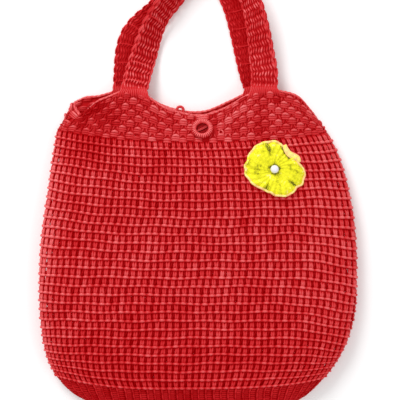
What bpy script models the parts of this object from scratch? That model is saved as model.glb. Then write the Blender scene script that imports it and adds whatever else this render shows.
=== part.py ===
# Mesh plastic handbag, lying flat on its back with its front panel up.
# X runs to the right, Y from the base towards the handles, Z up from the floor.
# Sizes are in millimetres and become metres when a mesh is made.

import math

import bmesh
import bpy
import numpy as np
from mathutils import Matrix, Vector

MM = 0.001

# cloth
WALL = 3.0                # thickness of the crocheted wall
SEAM_GAP = 0.3            # clearance between pieces that touch
RIDGE = 0.9               # how far a mesh row's ridge stands out
ROWS = 29                 # mesh rows between base seam and yoke seam
YOKE_ROWS = 5             # rows of bumps from the yoke seam to the rim
BASE_ROWS = 3.7           # the base's depth in rows of the same length
BUMP = 1.1                # height of a yoke bump
RIB = 0.6                 # height of a base rib
RIM_ROLL = 1.9            # radius of the rolled last row round the mouth
SHARP = 50.0              # degrees between two faces from which their edge is drawn sharp
SHARP_BUMPS = 9.0         # the same on the shallow bumps of the yoke

# where the rows run at the middle of the front
BASE_SEAM_Y = -203.5
YOKE_SEAM_Y = 62.3
BOTTOM_Y = -225.0
ROW_LENGTH = (YOKE_SEAM_Y - BASE_SEAM_Y) / ROWS
BASE_LIFT = 12.0          # how much the lowest row rises at the sides
BASE_LIFT_ROWS = 3.2      # rows over which that rise dies away
TOP_LIFT = 12.2           # how much the highest row rises at the sides
TOP_LIFT_SKEW = 1.8       # the rise is larger on the left
SAG = 4.5                 # how far the front sinks between the handles
SAG_WIDTH = 48.0
UNEVEN = 0.9              # gentle unevenness of the front

# the face of one mesh row: share of the row from its lower end, height over the cloth
ROW_FACE = (
    (0.0, -0.5),
    (0.24, RIDGE),
    (0.66, 0.65),
)

# the cross-section: a flat back, a crowned front, rounded sides
FRONT_POWER = 2.5
BACK_POWER = 5.0
LEFT_WIDEST = 0.42        # height of the widest place, as a share of the crown
RIGHT_WIDEST = 0.34
FLATTEN = 1.06            # presses the back onto the floor

# y, left edge, right edge, height of the crown, height of the underside
BODY = (
    (-225.0, -60.0, 46.0, 13.0, 9.0),
    (-224.2, -80.5, 64.5, 16.0, 7.0),
    (-222.0, -99.0, 83.0, 19.2, 4.4),
    (-218.5, -112.5, 96.0, 22.2, 2.2),
    (-213.4, -124.8, 107.6, 25.2, 0.7),
    (-205.9, -136.8, 118.0, 28.0, 0.0),
    (-197.0, -146.0, 127.0, 30.0, 0.0),
    (-188.8, -152.4, 134.0, 31.5, 0.0),
    (-171.6, -161.2, 146.2, 33.6, 0.0),
    (-154.5, -166.0, 155.8, 35.0, 0.0),
    (-137.0, -168.4, 161.8, 36.0, 0.0),
    (-111.6, -170.2, 166.4, 36.8, 0.0),
    (-86.0, -170.6, 167.2, 37.0, 0.0),
    (-34.0, -167.8, 165.5, 37.0, 0.0),
    (8.6, -161.6, 159.2, 35.8, 0.0),
    (42.9, -157.0, 149.6, 33.2, 0.0),
    (62.0, -154.2, 141.4, 30.8, 0.0),
    (80.0, -151.6, 131.5, 28.0, 0.0),
)

# the left shoulder: a crease with the cloth standing out on both sides of it, places as for the rim
CREASE = 3.2
CREASE_WIDTH = 0.022
FOLD = 3.0
FOLD_PLACES = (0.045, -0.05)
FOLD_WIDTH = 0.03
DENT = 4.0                # the hollow below the left end of the rim
DENT_PLACE = (-116.0, 88.0)
DENT_WIDTH = 15.0

# the rim: how far round (0 left side, 1 right side, 2 left side again), x, y, height of its outer face
RIM = (
    (0.00, -127.6, 89.5, 13.5),
    (0.05, -122.5, 95.0, 18.0),
    (0.10, -112.0, 103.5, 21.0),
    (0.16, -99.0, 108.8, 22.0),
    (0.21, -86.5, 113.8, 22.0),
    (0.255, -76.0, 115.0, 22.0),
    (0.295, -64.5, 113.6, 21.8),
    (0.33, -55.0, 109.0, 21.4),
    (0.385, -38.0, 98.4, 19.2),
    (0.455, -18.0, 92.4, 16.4),
    (0.53, 3.0, 90.4, 15.4),
    (0.61, 27.0, 98.0, 16.8),
    (0.695, 52.5, 112.2, 20.0),
    (0.735, 62.5, 115.8, 20.8),
    (0.775, 74.0, 116.6, 21.0),
    (0.82, 85.0, 115.4, 20.6),
    (0.89, 105.0, 109.8, 18.6),
    (0.95, 118.0, 97.0, 15.0),
    (1.00, 127.5, 83.5, 10.5),
    (1.05, 124.5, 92.0, 6.0),
    (1.10, 114.0, 104.0, 2.8),
    (1.17, 98.0, 113.0, 0.6),
    (1.25, 76.0, 119.0, 0.0),
    (1.32, 55.0, 117.0, 0.0),
    (1.40, 33.0, 107.2, 0.0),
    (1.50, 3.0, 95.4, 0.0),
    (1.57, -18.0, 95.6, 0.0),
    (1.65, -42.0, 102.6, 0.0),
    (1.72, -64.0, 113.4, 0.0),
    (1.80, -90.0, 117.0, 0.0),
    (1.88, -113.0, 112.0, 0.6),
    (1.93, -129.0, 109.8, 2.2),
    (1.965, -137.0, 103.5, 5.0),
    (1.985, -133.5, 95.5, 8.5),
)

# straps
STRAP_WIDTH = 29.0
STRAP_THICK = 5.0
STRAP_ROW = 9.8           # length of one strap row
STRAP_RIDGE = 0.7         # how far a strap row stands out
STRAP_SCALLOP = 0.5       # how far a row bulges at the edges

# front strap between its feet: x, y, height of its lowest edge, roll in degrees, outer edge up
FRONT_FEET = (-70.3, 68.3)
FRONT_FEET_HEIGHT = 17.4
FRONT_STRAP = (
    (-65.5, 139.6, 8.6, 8.0),
    (-60.4, 156.3, 2.6, 22.0),
    (-54.0, 176.0, 2.0, 35.0),
    (-45.3, 195.1, 4.4, 45.0),
    (-32.3, 213.4, 6.2, 50.0),
    (-21.5, 230.0, 6.6, 50.0),
    (-6.5, 246.6, 6.6, 50.0),
    (14.0, 254.6, 6.6, 50.0),
    (32.9, 248.6, 6.6, 50.0),
    (45.5, 231.6, 6.6, 50.0),
    (54.8, 210.7, 6.4, 49.0),
    (61.4, 185.0, 6.2, 40.0),
    (66.7, 153.0, 6.4, 22.0),
    (69.2, 136.0, 11.0, 8.0),
)

# back strap between its feet, flat on the floor: x, y
BACK_FEET = (-80.5, 62.4)
BACK_STRAP = (
    (-79.4, 141.4),
    (-77.6, 162.1),
    (-72.4, 178.4),
    (-62.8, 190.4),
    (-52.2, 199.2),
    (-42.4, 208.2),
    (-31.6, 221.5),
    (-16.3, 238.6),
    (3.3, 247.6),
    (20.7, 242.2),
    (31.6, 228.0),
    (39.2, 211.1),
    (46.4, 185.0),
    (52.4, 157.8),
    (57.4, 137.0),
)

# button, turned from its profile: radius and height above its seat
BUTTON_PLACE = (2.3, 76.4)
BUTTON_PROFILE = (
    (0.0, 2.6), (5.6, 2.8), (6.3, 4.2), (7.2, 6.9), (8.7, 8.0),
    (10.2, 7.2), (11.0, 5.0), (10.5, 2.2), (9.2, 0.0), (0.0, 0.0),
)
BUTTON_SIDES = 22
BUTTON_CLEAR = 17.0       # radius round the button in which the bumps lie flat
BUTTON_FADE = 3.0         # width of the ring in which they grow to their full height

# cords that hold the button
TAB_WIDTH = 14.0
TAB_CORD = 1.1            # radius of one cord
TAB_CORDS = 2
TAB_Y = (87.0, 88.6)

# closing loop: the middle of its bend, and one leg as y and height above the inside of the back
LOOP_RADIUS = 1.1
LOOP_BEND = 4.5
LOOP_PLACE = (-21.6, 97.6)
LOOP_LEG = ((76.0, 0.0), (82.0, 0.05), (88.0, 0.3), (94.0, 0.65))
LOOP_TOP = 0.8

# flower
FLOWER_PLACE = (77.5, 32.0)
FLOWER_RADIUS = 32.0
FLOWER_THICK = 6.0
FLOWER_SEAT = 1.3         # its underside above the cloth, clear of the ridges
FLOWER_HOLLOW = 2.6       # how far the middle sinks
FLOWER_HOLLOW_WIDTH = 0.3
FLOWER_RINGS = (0.16, 0.34, 0.56, 0.78, 0.94)
PETAL_GAPS = (50.0, 100.0, 180.0, 250.0, 322.0)
PETAL_NOTCH = 6.0         # depth of a gap between two petals
PETAL_NOTCH_WIDTH = 11.0  # in degrees
PETAL_EDGE = 1.3          # height of a petal's edge
PETAL_THIN = 1.6          # the least thickness of a petal
PETAL_DIP = 0.45          # how much lower the flower is along a gap
RUFFLES = 21
RUFFLE = 0.7
BEAD_RADIUS = 4.3

# points round the cloth: along the front, along the back
MESH_SIDES = (26, 8)
YOKE_SIDES = (60, 16)
RIM_SIDES = (52, 32)
BASE_SIDES = (84, 16)
SIDE_CROWDING = 0.6       # 0 spreads the points evenly, 1 crowds them into the sides

# rings along the cloth that aren't rows: shares of the base's depth, rows above the yoke seam
MESH_INSIDE = 8
BASE_OUTSIDE = (0.14, 0.3, 0.46, 0.64, 0.82, 1.0)
BASE_INSIDE = (0.2, 0.4, 0.56)
RIB_FADE = (0.1, 0.7)     # the ribs reach full height at the first share and die away from the second
YOKE_ROW = 5.0            # length of a yoke row where the band is lowest
YOKE_LAST = 4.75          # the last row before the rolled edge
YOKE_INSIDE = (4.7, 3.2, 1.6)
ROLL_REACH = 0.4          # rows below the rim from which the rolled edge takes its direction

REDS = {
    "base": (0.36, 0.008, 0.012),
    "mesh_body": (0.55, 0.018, 0.022),
    "yoke": (0.47, 0.016, 0.02),
    "handle_front": (0.58, 0.022, 0.026),
    "handle_back": (0.40, 0.008, 0.012),
    "button": (0.46, 0.018, 0.02),
    "button_tab": (0.55, 0.03, 0.03),
    "closing_loop": (0.40, 0.01, 0.014),
}
YELLOW = (0.76, 0.80, 0.02)
PEARL = (0.86, 0.83, 0.78)


def curve_through(knots, values, at):
    """A smooth curve through the values at the knots, held at its ends."""
    knots = np.asarray(knots, float)
    values = np.asarray(values, float)
    at = np.clip(at, knots[0], knots[-1])
    span = np.diff(knots)
    rise = np.diff(values) / span
    slope = np.empty(len(knots))
    slope[0] = rise[0]
    slope[-1] = rise[-1]
    slope[1:-1] = (rise[:-1] * span[1:] + rise[1:] * span[:-1]) / (span[:-1] + span[1:])
    k = np.clip(np.searchsorted(knots, at, side="right") - 1, 0, len(span) - 1)
    t = (at - knots[k]) / span[k]
    low = (1 + 2 * t) * (1 - t) ** 2 * values[k] + t * (1 - t) ** 2 * span[k] * slope[k]
    high = t * t * (3 - 2 * t) * values[k + 1] + t * t * (t - 1) * span[k] * slope[k + 1]
    return low + high


def column(table, number):
    return [row[number] for row in table]


def ease(value, start, end):
    t = np.clip((value - start) / (end - start), 0.0, 1.0)
    return t * t * (3 - 2 * t)


# The unit section: for each place round it, x from -1 to 1 and a height share from 0 to 1.
# Equal steps round the section are equal lengths of cloth.
SECTION_WIDTH = 165.0
SECTION_HEIGHT = 22.0


def unit_side(power):
    angle = np.linspace(math.pi, 0.0, 1441)
    x = np.sign(np.cos(angle)) * np.abs(np.cos(angle)) ** (2 / power)
    z = np.abs(np.sin(angle)) ** (2 / power)
    step = np.hypot(np.diff(x) * SECTION_WIDTH, np.diff(z) * SECTION_HEIGHT)
    along = np.concatenate([[0.0], np.cumsum(step)])
    return along / along[-1], x, z


FRONT_SIDE = unit_side(FRONT_POWER)
BACK_SIDE = unit_side(BACK_POWER)


def section_at(around):
    """x share, height share and whether it is the front, for around from 0 to 2."""
    around = np.mod(around, 2.0)
    front = around <= 1.0
    far = np.where(front, around, 2.0 - around)
    x = np.where(front, np.interp(far, *FRONT_SIDE[:2]), np.interp(far, *BACK_SIDE[:2]))
    z = np.where(
        front,
        np.interp(far, FRONT_SIDE[0], FRONT_SIDE[2]),
        np.interp(far, BACK_SIDE[0], BACK_SIDE[2]),
    )
    return x, z, front


def body_point(around, row):
    """A point of the cloth's outer face between the bottom (row -BASE_ROWS) and the yoke seam."""
    x_share, z_share, front = section_at(around)
    up = np.clip(row, 0.0, ROWS) / ROWS
    y = BASE_SEAM_Y + (YOKE_SEAM_Y - BASE_SEAM_Y) * up
    low_lift = BASE_LIFT * np.exp(-((np.clip(row, 0, ROWS) / BASE_LIFT_ROWS) ** 2))
    y = y + low_lift * np.abs(x_share) ** 3.5
    top_lift = (TOP_LIFT - TOP_LIFT_SKEW * x_share) * ease(row, 9.0, 25.0)
    y = y + top_lift * np.abs(x_share) ** 2.3
    into_base = np.sin(np.clip(-row / BASE_ROWS, 0.0, 1.0) * math.pi / 2)
    y = y + (BOTTOM_Y - y) * into_base
    left = curve_through(column(BODY, 0), column(BODY, 1), y)
    right = curve_through(column(BODY, 0), column(BODY, 2), y)
    crown = curve_through(column(BODY, 0), column(BODY, 3), y)
    under = np.maximum(curve_through(column(BODY, 0), column(BODY, 4), y), 0.0)
    x = (left + right) / 2 + (right - left) / 2 * x_share
    widest = (LEFT_WIDEST + RIGHT_WIDEST) / 2 + (RIGHT_WIDEST - LEFT_WIDEST) / 2 * x_share
    middle = under + (crown - under) * widest
    wave = np.sin(x / 41 + y / 57) + 0.8 * np.sin(x / 27 - y / 71 + 1.3)
    sunk = SAG * ease(y, -20.0, 80.0) * np.exp(-((x / SAG_WIDTH) ** 2))
    upper = middle + (crown - middle) * z_share + z_share * (UNEVEN * wave - sunk)
    lower = np.maximum(under, middle - (middle - under) * FLATTEN * z_share)
    return np.stack([x, y, np.where(front, upper, lower)], axis=-1)


def rim_point(around):
    """A point of the rim's outer face; the table closes on itself."""
    knots = column(RIM, 0)
    knots = [knots[-2] - 2, knots[-1] - 2] + knots + [knots[0] + 2, knots[1] + 2]
    out = []
    for number in (1, 2, 3):
        values = column(RIM, number)
        values = values[-2:] + values + values[:2]
        out.append(curve_through(knots, values, np.mod(around, 2.0)))
    out[2] = np.maximum(out[2], 0.0)
    return np.stack(out, axis=-1)


def shell_point(around, row):
    """The cloth's outer face from the bottom (-BASE_ROWS) over both seams (0, ROWS) to the rim."""
    around, row = np.broadcast_arrays(np.asarray(around, float), np.asarray(row, float))
    point = body_point(around, row)
    up = np.clip((row - ROWS) / YOKE_ROWS, 0.0, 1.0)
    point = point + (rim_point(around) - point) * up[..., None]
    swell = 4 * up * (1 - up)
    side = np.mod(around + 1.0, 2.0) - 1.0
    crease = np.exp(-((side / CREASE_WIDTH) ** 2)) * swell
    fold = sum(np.exp(-(((side - place) / FOLD_WIDTH) ** 2)) for place in FOLD_PLACES)
    point[..., 0] += CREASE * crease - FOLD * fold * swell
    away = (point[..., 0] - DENT_PLACE[0]) ** 2 + (point[..., 1] - DENT_PLACE[1]) ** 2
    dent = DENT * np.exp(-away / DENT_WIDTH ** 2) * (np.abs(side - 0.5) < 0.5)
    point[..., 2] -= dent * ease(row, ROWS - 4, ROWS)
    return point


TOP_ROW = ROWS + YOKE_ROWS
NORMAL_REACH = 0.3        # rows on either side from which a direction is taken


def shell_normal(around, row):
    """The outward direction, smooth over the seams."""
    around, row = np.broadcast_arrays(np.asarray(around, float), np.asarray(row, float))
    low = np.clip(row - NORMAL_REACH, -0.97 * BASE_ROWS, TOP_ROW)
    high = np.clip(row + NORMAL_REACH, -0.9 * BASE_ROWS, TOP_ROW)
    along = shell_point(around, high) - shell_point(around, low)
    across = shell_point(around + 0.006, row) - shell_point(around - 0.006, row)
    normal = np.cross(across, along)
    return normal / np.linalg.norm(normal, axis=-1, keepdims=True)


def front_table():
    """Front points and normals on a fine grid, to seat pieces on the cloth."""
    around, row = np.meshgrid(np.linspace(0.02, 0.98, 420), np.linspace(0.0, TOP_ROW, 480))
    return shell_point(around, row).reshape(-1, 3), shell_normal(around, row).reshape(-1, 3)


FRONT_POINTS, FRONT_NORMALS = front_table()


def front_height(x, y):
    """Height of the front's outer face above a place on the floor, and its normal there."""
    near = np.argmin((FRONT_POINTS[:, 0] - x) ** 2 + (FRONT_POINTS[:, 1] - y) ** 2)
    point, normal = FRONT_POINTS[near], FRONT_NORMALS[near]
    slope = (normal[0] * (x - point[0]) + normal[1] * (y - point[1])) / normal[2]
    return point[2] - slope, normal


def around_points(sides, even_front=False):
    """Places round the cloth, over the front and then the back, crowded towards the sides."""
    out = []
    for start, count in enumerate(sides):
        t = np.arange(count) / count
        crowding = 0.0 if even_front and start == 0 else SIDE_CROWDING
        out.append(start + t - crowding * np.sin(math.tau * t) / math.tau)
    return np.concatenate(out)


def off_the_floor(around):
    """1 where relief shows, 0 on the back that lies on the floor."""
    around = np.mod(around, 2.0)
    return 1.0 - ease(around, 1.0, 1.06) * (1.0 - ease(around, 1.94, 2.0))


def outer_ring(around, row, out):
    """A ring of the outer face, moved out by out."""
    point = shell_point(around, row)
    return point + shell_normal(around, row) * np.broadcast_to(out, around.shape)[:, None]


def make_object(name, bm, colour, roughness=0.38, sharp=SHARP, crisp=()):
    """An object with its own material from a mesh in millimetres; crisp rings keep their edge."""
    bmesh.ops.scale(bm, vec=(MM, MM, MM), verts=bm.verts)
    bmesh.ops.recalc_face_normals(bm, faces=bm.faces)
    for face in bm.faces:
        face.smooth = True
    for edge in bm.edges:
        edge.smooth = edge.calc_face_angle(math.pi) < math.radians(sharp)
    for ring in crisp:
        for first, second in zip(ring, ring[1:] + ring[:1]):
            bm.edges.get((first, second)).smooth = False
    mesh = bpy.data.meshes.new(name)
    bm.to_mesh(mesh)
    bm.free()
    obj = bpy.data.objects.new(name, mesh)
    bpy.context.scene.collection.objects.link(obj)
    material = bpy.data.materials.new(name)
    material.use_nodes = True
    shader = material.node_tree.nodes["Principled BSDF"]
    shader.inputs["Base Color"].default_value = (*colour, 1.0)
    shader.inputs["Roughness"].default_value = roughness
    shader.inputs["Metallic"].default_value = 0.0
    obj.data.materials.append(material)
    return obj


def add_ring(bm, ring):
    return [bm.verts.new(Vector(point)) for point in ring]


def bridge(bm, first, second):
    """Faces between two closed rings of as many points."""
    count = len(first)
    for i in range(count):
        j = (i + 1) % count
        bm.faces.new((first[i], first[j], second[j], second[i]))


def bridge_uneven(bm, first, first_around, second, second_around):
    """Triangles between two closed rings whose points lie at different places round the bag."""
    i = j = 0
    first_next = list(first_around[1:]) + [2.0]
    second_next = list(second_around[1:]) + [2.0]
    while i < len(first) or j < len(second):
        a, b = first[i % len(first)], second[j % len(second)]
        if j >= len(second) or i < len(first) and first_next[i] <= second_next[j]:
            i += 1
            bm.faces.new((a, first[i % len(first)], b))
        else:
            j += 1
            bm.faces.new((a, second[j % len(second)], b))


def close_strip(bm, ring, front_count):
    """Closes a flattened ring by joining its front points to its back points."""
    total = len(ring)
    back_count = total - front_count
    front = list(range(0, front_count + 1))
    back = [0] + [total - k for k in range(1, back_count + 1)]
    i = j = 0
    while i < len(front) - 1 or j < len(back) - 1:
        next_front = (i + 1) / (len(front) - 1)
        next_back = (j + 1) / (len(back) - 1)
        if i < len(front) - 1 and (j >= len(back) - 1 or next_front <= next_back):
            corners = [ring[front[i]], ring[front[i + 1]], ring[back[j] % total]]
            i += 1
        else:
            corners = [ring[front[i]], ring[back[j + 1] % total], ring[back[j] % total]]
            j += 1
        if len(set(corners)) == 3:
            bm.faces.new(corners)


def sleeve(bm, rings):
    """A wall whose profile closes on itself, from rings with their places round the bag."""
    rings = [(add_ring(bm, ring), around) for ring, around in rings]
    for (first, here), (second, there) in zip(rings, rings[1:]):
        if len(here) == len(there):
            bridge(bm, first, second)
        else:
            bridge_uneven(bm, first, here, second, there)
    bridge(bm, rings[0][0], rings[-1][0])
    return [ring for ring, around in rings]


def make_mesh_body():
    """The openwork tube: one ridge for each row of stitches."""
    around = around_points(MESH_SIDES)
    low_seam = around_points(BASE_SIDES, even_front=True)
    high_seam = around_points(YOKE_SIDES, even_front=True)
    shown = off_the_floor(around)
    end = 0.5 * SEAM_GAP / ROW_LENGTH
    rings = [(outer_ring(low_seam, end, 0.0), low_seam)]
    for row in range(ROWS):
        for share, out in ROW_FACE[1:] if row == 0 else ROW_FACE:
            rings.append((outer_ring(around, row + share, out * shown), around))
    rings.append((outer_ring(high_seam, ROWS - end, 0.0), high_seam))
    rings.append((outer_ring(high_seam, ROWS - end, -WALL), high_seam))
    for row in np.linspace(ROWS - 1.0, 1.0, MESH_INSIDE):
        rings.append((outer_ring(around, row, -WALL), around))
    rings.append((outer_ring(low_seam, end, -WALL), low_seam))
    bm = bmesh.new()
    made = sleeve(bm, rings)
    grooves = [made[len(ROW_FACE) * row - 1] for row in range(1, ROWS)]
    make_object("mesh_body", bm, REDS["mesh_body"], crisp=grooves)


def make_yoke():
    """The dense band: staggered bumps, and the rolled last row round the mouth."""
    around = around_points(YOKE_SIDES, even_front=True)
    fewer = around_points(RIM_SIDES)
    shown = off_the_floor(around)
    numbers = np.arange(len(around))
    end = 0.5 * SEAM_GAP / YOKE_ROW
    rows = np.linspace(ROWS + end, ROWS + YOKE_LAST, 2 * YOKE_ROWS + 1)
    rings = []
    for number, row in enumerate(rows):
        bump = np.zeros(len(around))
        if number % 2 == 1:
            bump = BUMP * ((numbers + number // 2) % 2)
            base = outer_ring(around, row, 0.0)
            away = np.hypot(base[:, 0] - BUTTON_PLACE[0], base[:, 1] - BUTTON_PLACE[1])
            bump = bump * ease(away, BUTTON_CLEAR - BUTTON_FADE, BUTTON_CLEAR)
        rings.append((outer_ring(around, row, bump * shown), around))
    rim = shell_point(fewer, TOP_ROW)
    normal = shell_normal(fewer, TOP_ROW)
    onward = rim - shell_point(fewer, TOP_ROW - ROLL_REACH)
    onward -= normal * np.sum(onward * normal, axis=1, keepdims=True)
    onward /= np.linalg.norm(onward, axis=1, keepdims=True)
    centre = rim - normal * WALL / 2
    for degrees in (120, 60, 0, -60, -120):
        turn = math.radians(degrees)
        lift = math.sin(turn) * normal * RIM_ROLL
        ring = centre + math.cos(turn) * onward * RIM_ROLL + lift
        ring[:, 2] = np.maximum(ring[:, 2], 0.0)
        rings.append((ring, fewer))
    for row in YOKE_INSIDE:
        rings.append((outer_ring(fewer, ROWS + row, -WALL), fewer))
    rings.append((outer_ring(around, ROWS + end, -WALL), around))
    bm = bmesh.new()
    sleeve(bm, rings)
    make_object("yoke", bm, REDS["yoke"], sharp=SHARP_BUMPS)


def make_base():
    """The ribbed cup that closes the bottom."""
    around = around_points(BASE_SIDES, even_front=True)
    shown = off_the_floor(around)
    rib = RIB * (2 * (np.arange(len(around)) % 2) - 1) * shown
    end = 0.5 * SEAM_GAP / ROW_LENGTH
    outer = [outer_ring(around, -end, 0.0)]
    for share in BASE_OUTSIDE:
        fade = ease(share, 0.0, RIB_FADE[0]) * (1 - ease(share, RIB_FADE[1], 1.0))
        outer.append(outer_ring(around, -share * BASE_ROWS, rib * fade))
    inner = [outer_ring(around, -end, -WALL)]
    inner += [outer_ring(around, -share * BASE_ROWS, -WALL) for share in BASE_INSIDE]
    bm = bmesh.new()
    outer = [add_ring(bm, ring) for ring in outer]
    inner = [add_ring(bm, ring) for ring in inner]
    for first, second in zip(outer, outer[1:]):
        bridge(bm, first, second)
    for first, second in zip(inner, inner[1:]):
        bridge(bm, first, second)
    bridge(bm, outer[0], inner[0])
    close_strip(bm, outer[-1], BASE_SIDES[0])
    close_strip(bm, inner[-1], BASE_SIDES[0])
    make_object("base", bm, REDS["base"], sharp=SHARP_BUMPS)


def strap_frames(path, low, roll):
    """Centres and cross directions along a strap, one for each half row."""
    path = np.asarray(path, float)
    along = np.concatenate([[0], np.cumsum(np.linalg.norm(np.diff(path, axis=0), axis=1))])
    halves = 2 * round(along[-1] / STRAP_ROW)
    at = np.linspace(0, along[-1], halves + 1)
    line = np.stack([curve_through(along, path[:, k], at) for k in (0, 1)], axis=1)
    low = curve_through(along, low, at)
    roll = np.radians(curve_through(along, roll, at))
    ahead = np.gradient(line, axis=0)
    ahead /= np.linalg.norm(ahead, axis=1, keepdims=True)
    inward = np.stack([ahead[:, 1], -ahead[:, 0], np.zeros(len(at))], axis=1)
    inward[0], inward[-1] = (1.0, 0.0, 0.0), (-1.0, 0.0, 0.0)   # both ends lie along the rim
    upright = np.array([0.0, 0.0, 1.0])
    side = inward * np.cos(roll)[:, None] - upright * np.sin(roll)[:, None]
    face = upright * np.cos(roll)[:, None] + inward * np.sin(roll)[:, None]
    rise = STRAP_WIDTH / 2 * np.sin(roll) + STRAP_THICK / 2 * np.cos(roll)
    centre = np.column_stack([line, low + rise])
    return centre, side, face


def make_strap(name, centre, side, face, flat_under):
    """A band with rounded edges and one raised row after another."""
    half_width = STRAP_WIDTH / 2
    half_thick = STRAP_THICK / 2
    shape = (
        (-1.0, 0.0), (-0.9, 0.72), (-0.45, 1.0), (0.45, 1.0), (0.9, 0.72),
        (1.0, 0.0), (0.88, -1.0), (-0.88, -1.0),
    )
    bm = bmesh.new()
    rings = []
    last = len(centre) - 1
    for number in range(len(centre)):
        raised = number % 2 == 1 and 0 < number < last
        wide = half_width - (0 if raised else STRAP_SCALLOP)
        high = half_thick - (0 if raised else STRAP_RIDGE)
        ring = []
        for across, up in shape:
            tall = high if up > 0 or not flat_under else half_thick
            place = centre[number] + side[number] * across * wide + face[number] * up * tall
            ring.append(place)
        rings.append(add_ring(bm, ring))
    for first, second in zip(rings, rings[1:]):
        bridge(bm, first, second)
    bm.faces.new(rings[0])
    bm.faces.new(rings[-1])
    make_object(name, bm, REDS[name], crisp=rings)


def foot_point(x, start):
    """Where a strap's end meets the rim; start is 0 for the front rim and 1 for the back."""
    rim = rim_point(np.linspace(start + 0.01, start + 0.99, 400))
    under = rim[np.abs(rim[:, 0] - x) < STRAP_WIDTH / 2]
    return x, under[:, 1].max() + RIM_ROLL + SEAM_GAP


def make_handles():
    feet = [foot_point(x, 0.0) for x in FRONT_FEET]
    path = [feet[0]] + [row[:2] for row in FRONT_STRAP] + [feet[1]]
    low = [FRONT_FEET_HEIGHT] + column(FRONT_STRAP, 2) + [FRONT_FEET_HEIGHT]
    roll = [0.0] + column(FRONT_STRAP, 3) + [0.0]
    make_strap("handle_front", *strap_frames(path, low, roll), flat_under=False)
    feet = [foot_point(x, 1.0) for x in BACK_FEET]
    path = [feet[0], *BACK_STRAP, feet[1]]
    flat = np.zeros(len(path))
    make_strap("handle_back", *strap_frames(path, flat, flat), flat_under=True)


def seat_matrix(place, lift, spread):
    """A frame on the front: its origin on the cloth, its Z along the cloth's normal."""
    height, normal = front_height(*place)
    normal = Vector(normal)
    highest = 0.0
    for turn in np.linspace(0.0, math.tau, 12, endpoint=False):
        x = place[0] + spread * math.cos(turn)
        y = place[1] + spread * math.sin(turn)
        above = Vector((x, y, front_height(x, y)[0])) - Vector((*place, height))
        highest = max(highest, above.dot(normal))
    origin = Vector((*place, height)) + normal * (highest + lift)
    tilt = normal.to_track_quat("Z", "Y").to_matrix().to_4x4()
    return Matrix.Translation(origin) @ tilt


def make_button():
    """Turned ring with a dished middle, seated on the yoke."""
    bm = bmesh.new()
    profile = [bm.verts.new((radius, 0.0, height)) for radius, height in BUTTON_PROFILE]
    edges = [bm.edges.new(pair) for pair in zip(profile, profile[1:])]
    bmesh.ops.spin(
        bm, geom=profile + edges, cent=(0, 0, 0), axis=(0, 0, 1),
        angle=math.tau, steps=BUTTON_SIDES, use_merge=True,
    )
    bmesh.ops.remove_doubles(bm, verts=bm.verts, dist=0.001)
    bm.transform(seat_matrix(BUTTON_PLACE, SEAM_GAP, BUTTON_PROFILE[-2][0]))
    make_object("button", bm, REDS["button"])


def make_button_tab():
    """Short cords side by side between the rim and the button, fused into one."""
    x, y = BUTTON_PLACE[0], (TAB_Y[0] + TAB_Y[1]) / 2
    pitch = TAB_Y[1] - TAB_Y[0]
    outline = []
    for cord in range(TAB_CORDS):
        centre = (cord - (TAB_CORDS - 1) / 2) * pitch
        for degrees in (150, 90, 30) if cord == 0 else (90, 30):
            turn = math.radians(degrees)
            outline.append((centre + TAB_CORD * math.cos(turn), TAB_CORD + TAB_CORD * math.sin(turn)))
    outline += [(outline[-1][0], 0.0), (outline[0][0], 0.0)]
    bm = bmesh.new()
    start = [bm.verts.new((-TAB_WIDTH / 2, place, height)) for place, height in outline]
    face = bm.faces.new(start)
    moved = bmesh.ops.extrude_face_region(bm, geom=[face])
    ends = [item for item in moved["geom"] if isinstance(item, bmesh.types.BMVert)]
    bmesh.ops.translate(bm, verts=ends, vec=(TAB_WIDTH, 0, 0))
    bm.transform(seat_matrix((x, y), SEAM_GAP, TAB_WIDTH / 2))
    make_object("button_tab", bm, REDS["button_tab"])


def loop_route():
    """Up from its root inside the back, round over the rim, and down again."""
    x, y = LOOP_PLACE
    inside = WALL + SEAM_GAP + LOOP_RADIUS
    left = [(x - LOOP_BEND, place, inside + rise) for place, rise in LOOP_LEG]
    right = [(x + LOOP_BEND, place, inside + rise) for place, rise in reversed(LOOP_LEG)]
    arch = []
    for degrees in range(180, -1, -30):
        turn = math.radians(degrees)
        bend = (x + LOOP_BEND * math.cos(turn), y + LOOP_BEND * math.sin(turn), inside + LOOP_TOP)
        arch.append(bend)
    return left + arch + right


def make_closing_loop():
    """A cord: a smooth curve through the route, as a plain tube."""
    route = np.array(loop_route())
    along = np.concatenate([[0], np.cumsum(np.linalg.norm(np.diff(route, axis=0), axis=1))])
    count = round(along[-1] / (2.4 * LOOP_RADIUS))
    at = np.linspace(0, along[-1], count)
    line = np.stack([curve_through(along, route[:, k], at) for k in range(3)], axis=1) * MM
    curve = bpy.data.curves.new("closing_loop", "CURVE")
    curve.dimensions = "3D"
    curve.bevel_depth = LOOP_RADIUS * MM
    curve.bevel_resolution = 2
    curve.use_fill_caps = True
    spline = curve.splines.new("POLY")
    spline.points.add(len(line) - 1)
    for point, place in zip(spline.points, line):
        point.co = (*place, 1.0)
    obj = bpy.data.objects.new("closing_loop", curve)
    bpy.context.scene.collection.objects.link(obj)
    material = bpy.data.materials.new("closing_loop")
    material.use_nodes = True
    shader = material.node_tree.nodes["Principled BSDF"]
    shader.inputs["Base Color"].default_value = (*REDS["closing_loop"], 1.0)
    shader.inputs["Roughness"].default_value = 0.38
    curve.materials.append(material)


def petal_outline(turn):
    """Radius of the flower at an angle: round petals with gaps between them."""
    radius = FLOWER_RADIUS
    for gap in PETAL_GAPS:
        off = (math.degrees(turn) - gap + 180) % 360 - 180
        radius -= PETAL_NOTCH * math.exp(-(off / PETAL_NOTCH_WIDTH) ** 2)
    return radius


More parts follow.
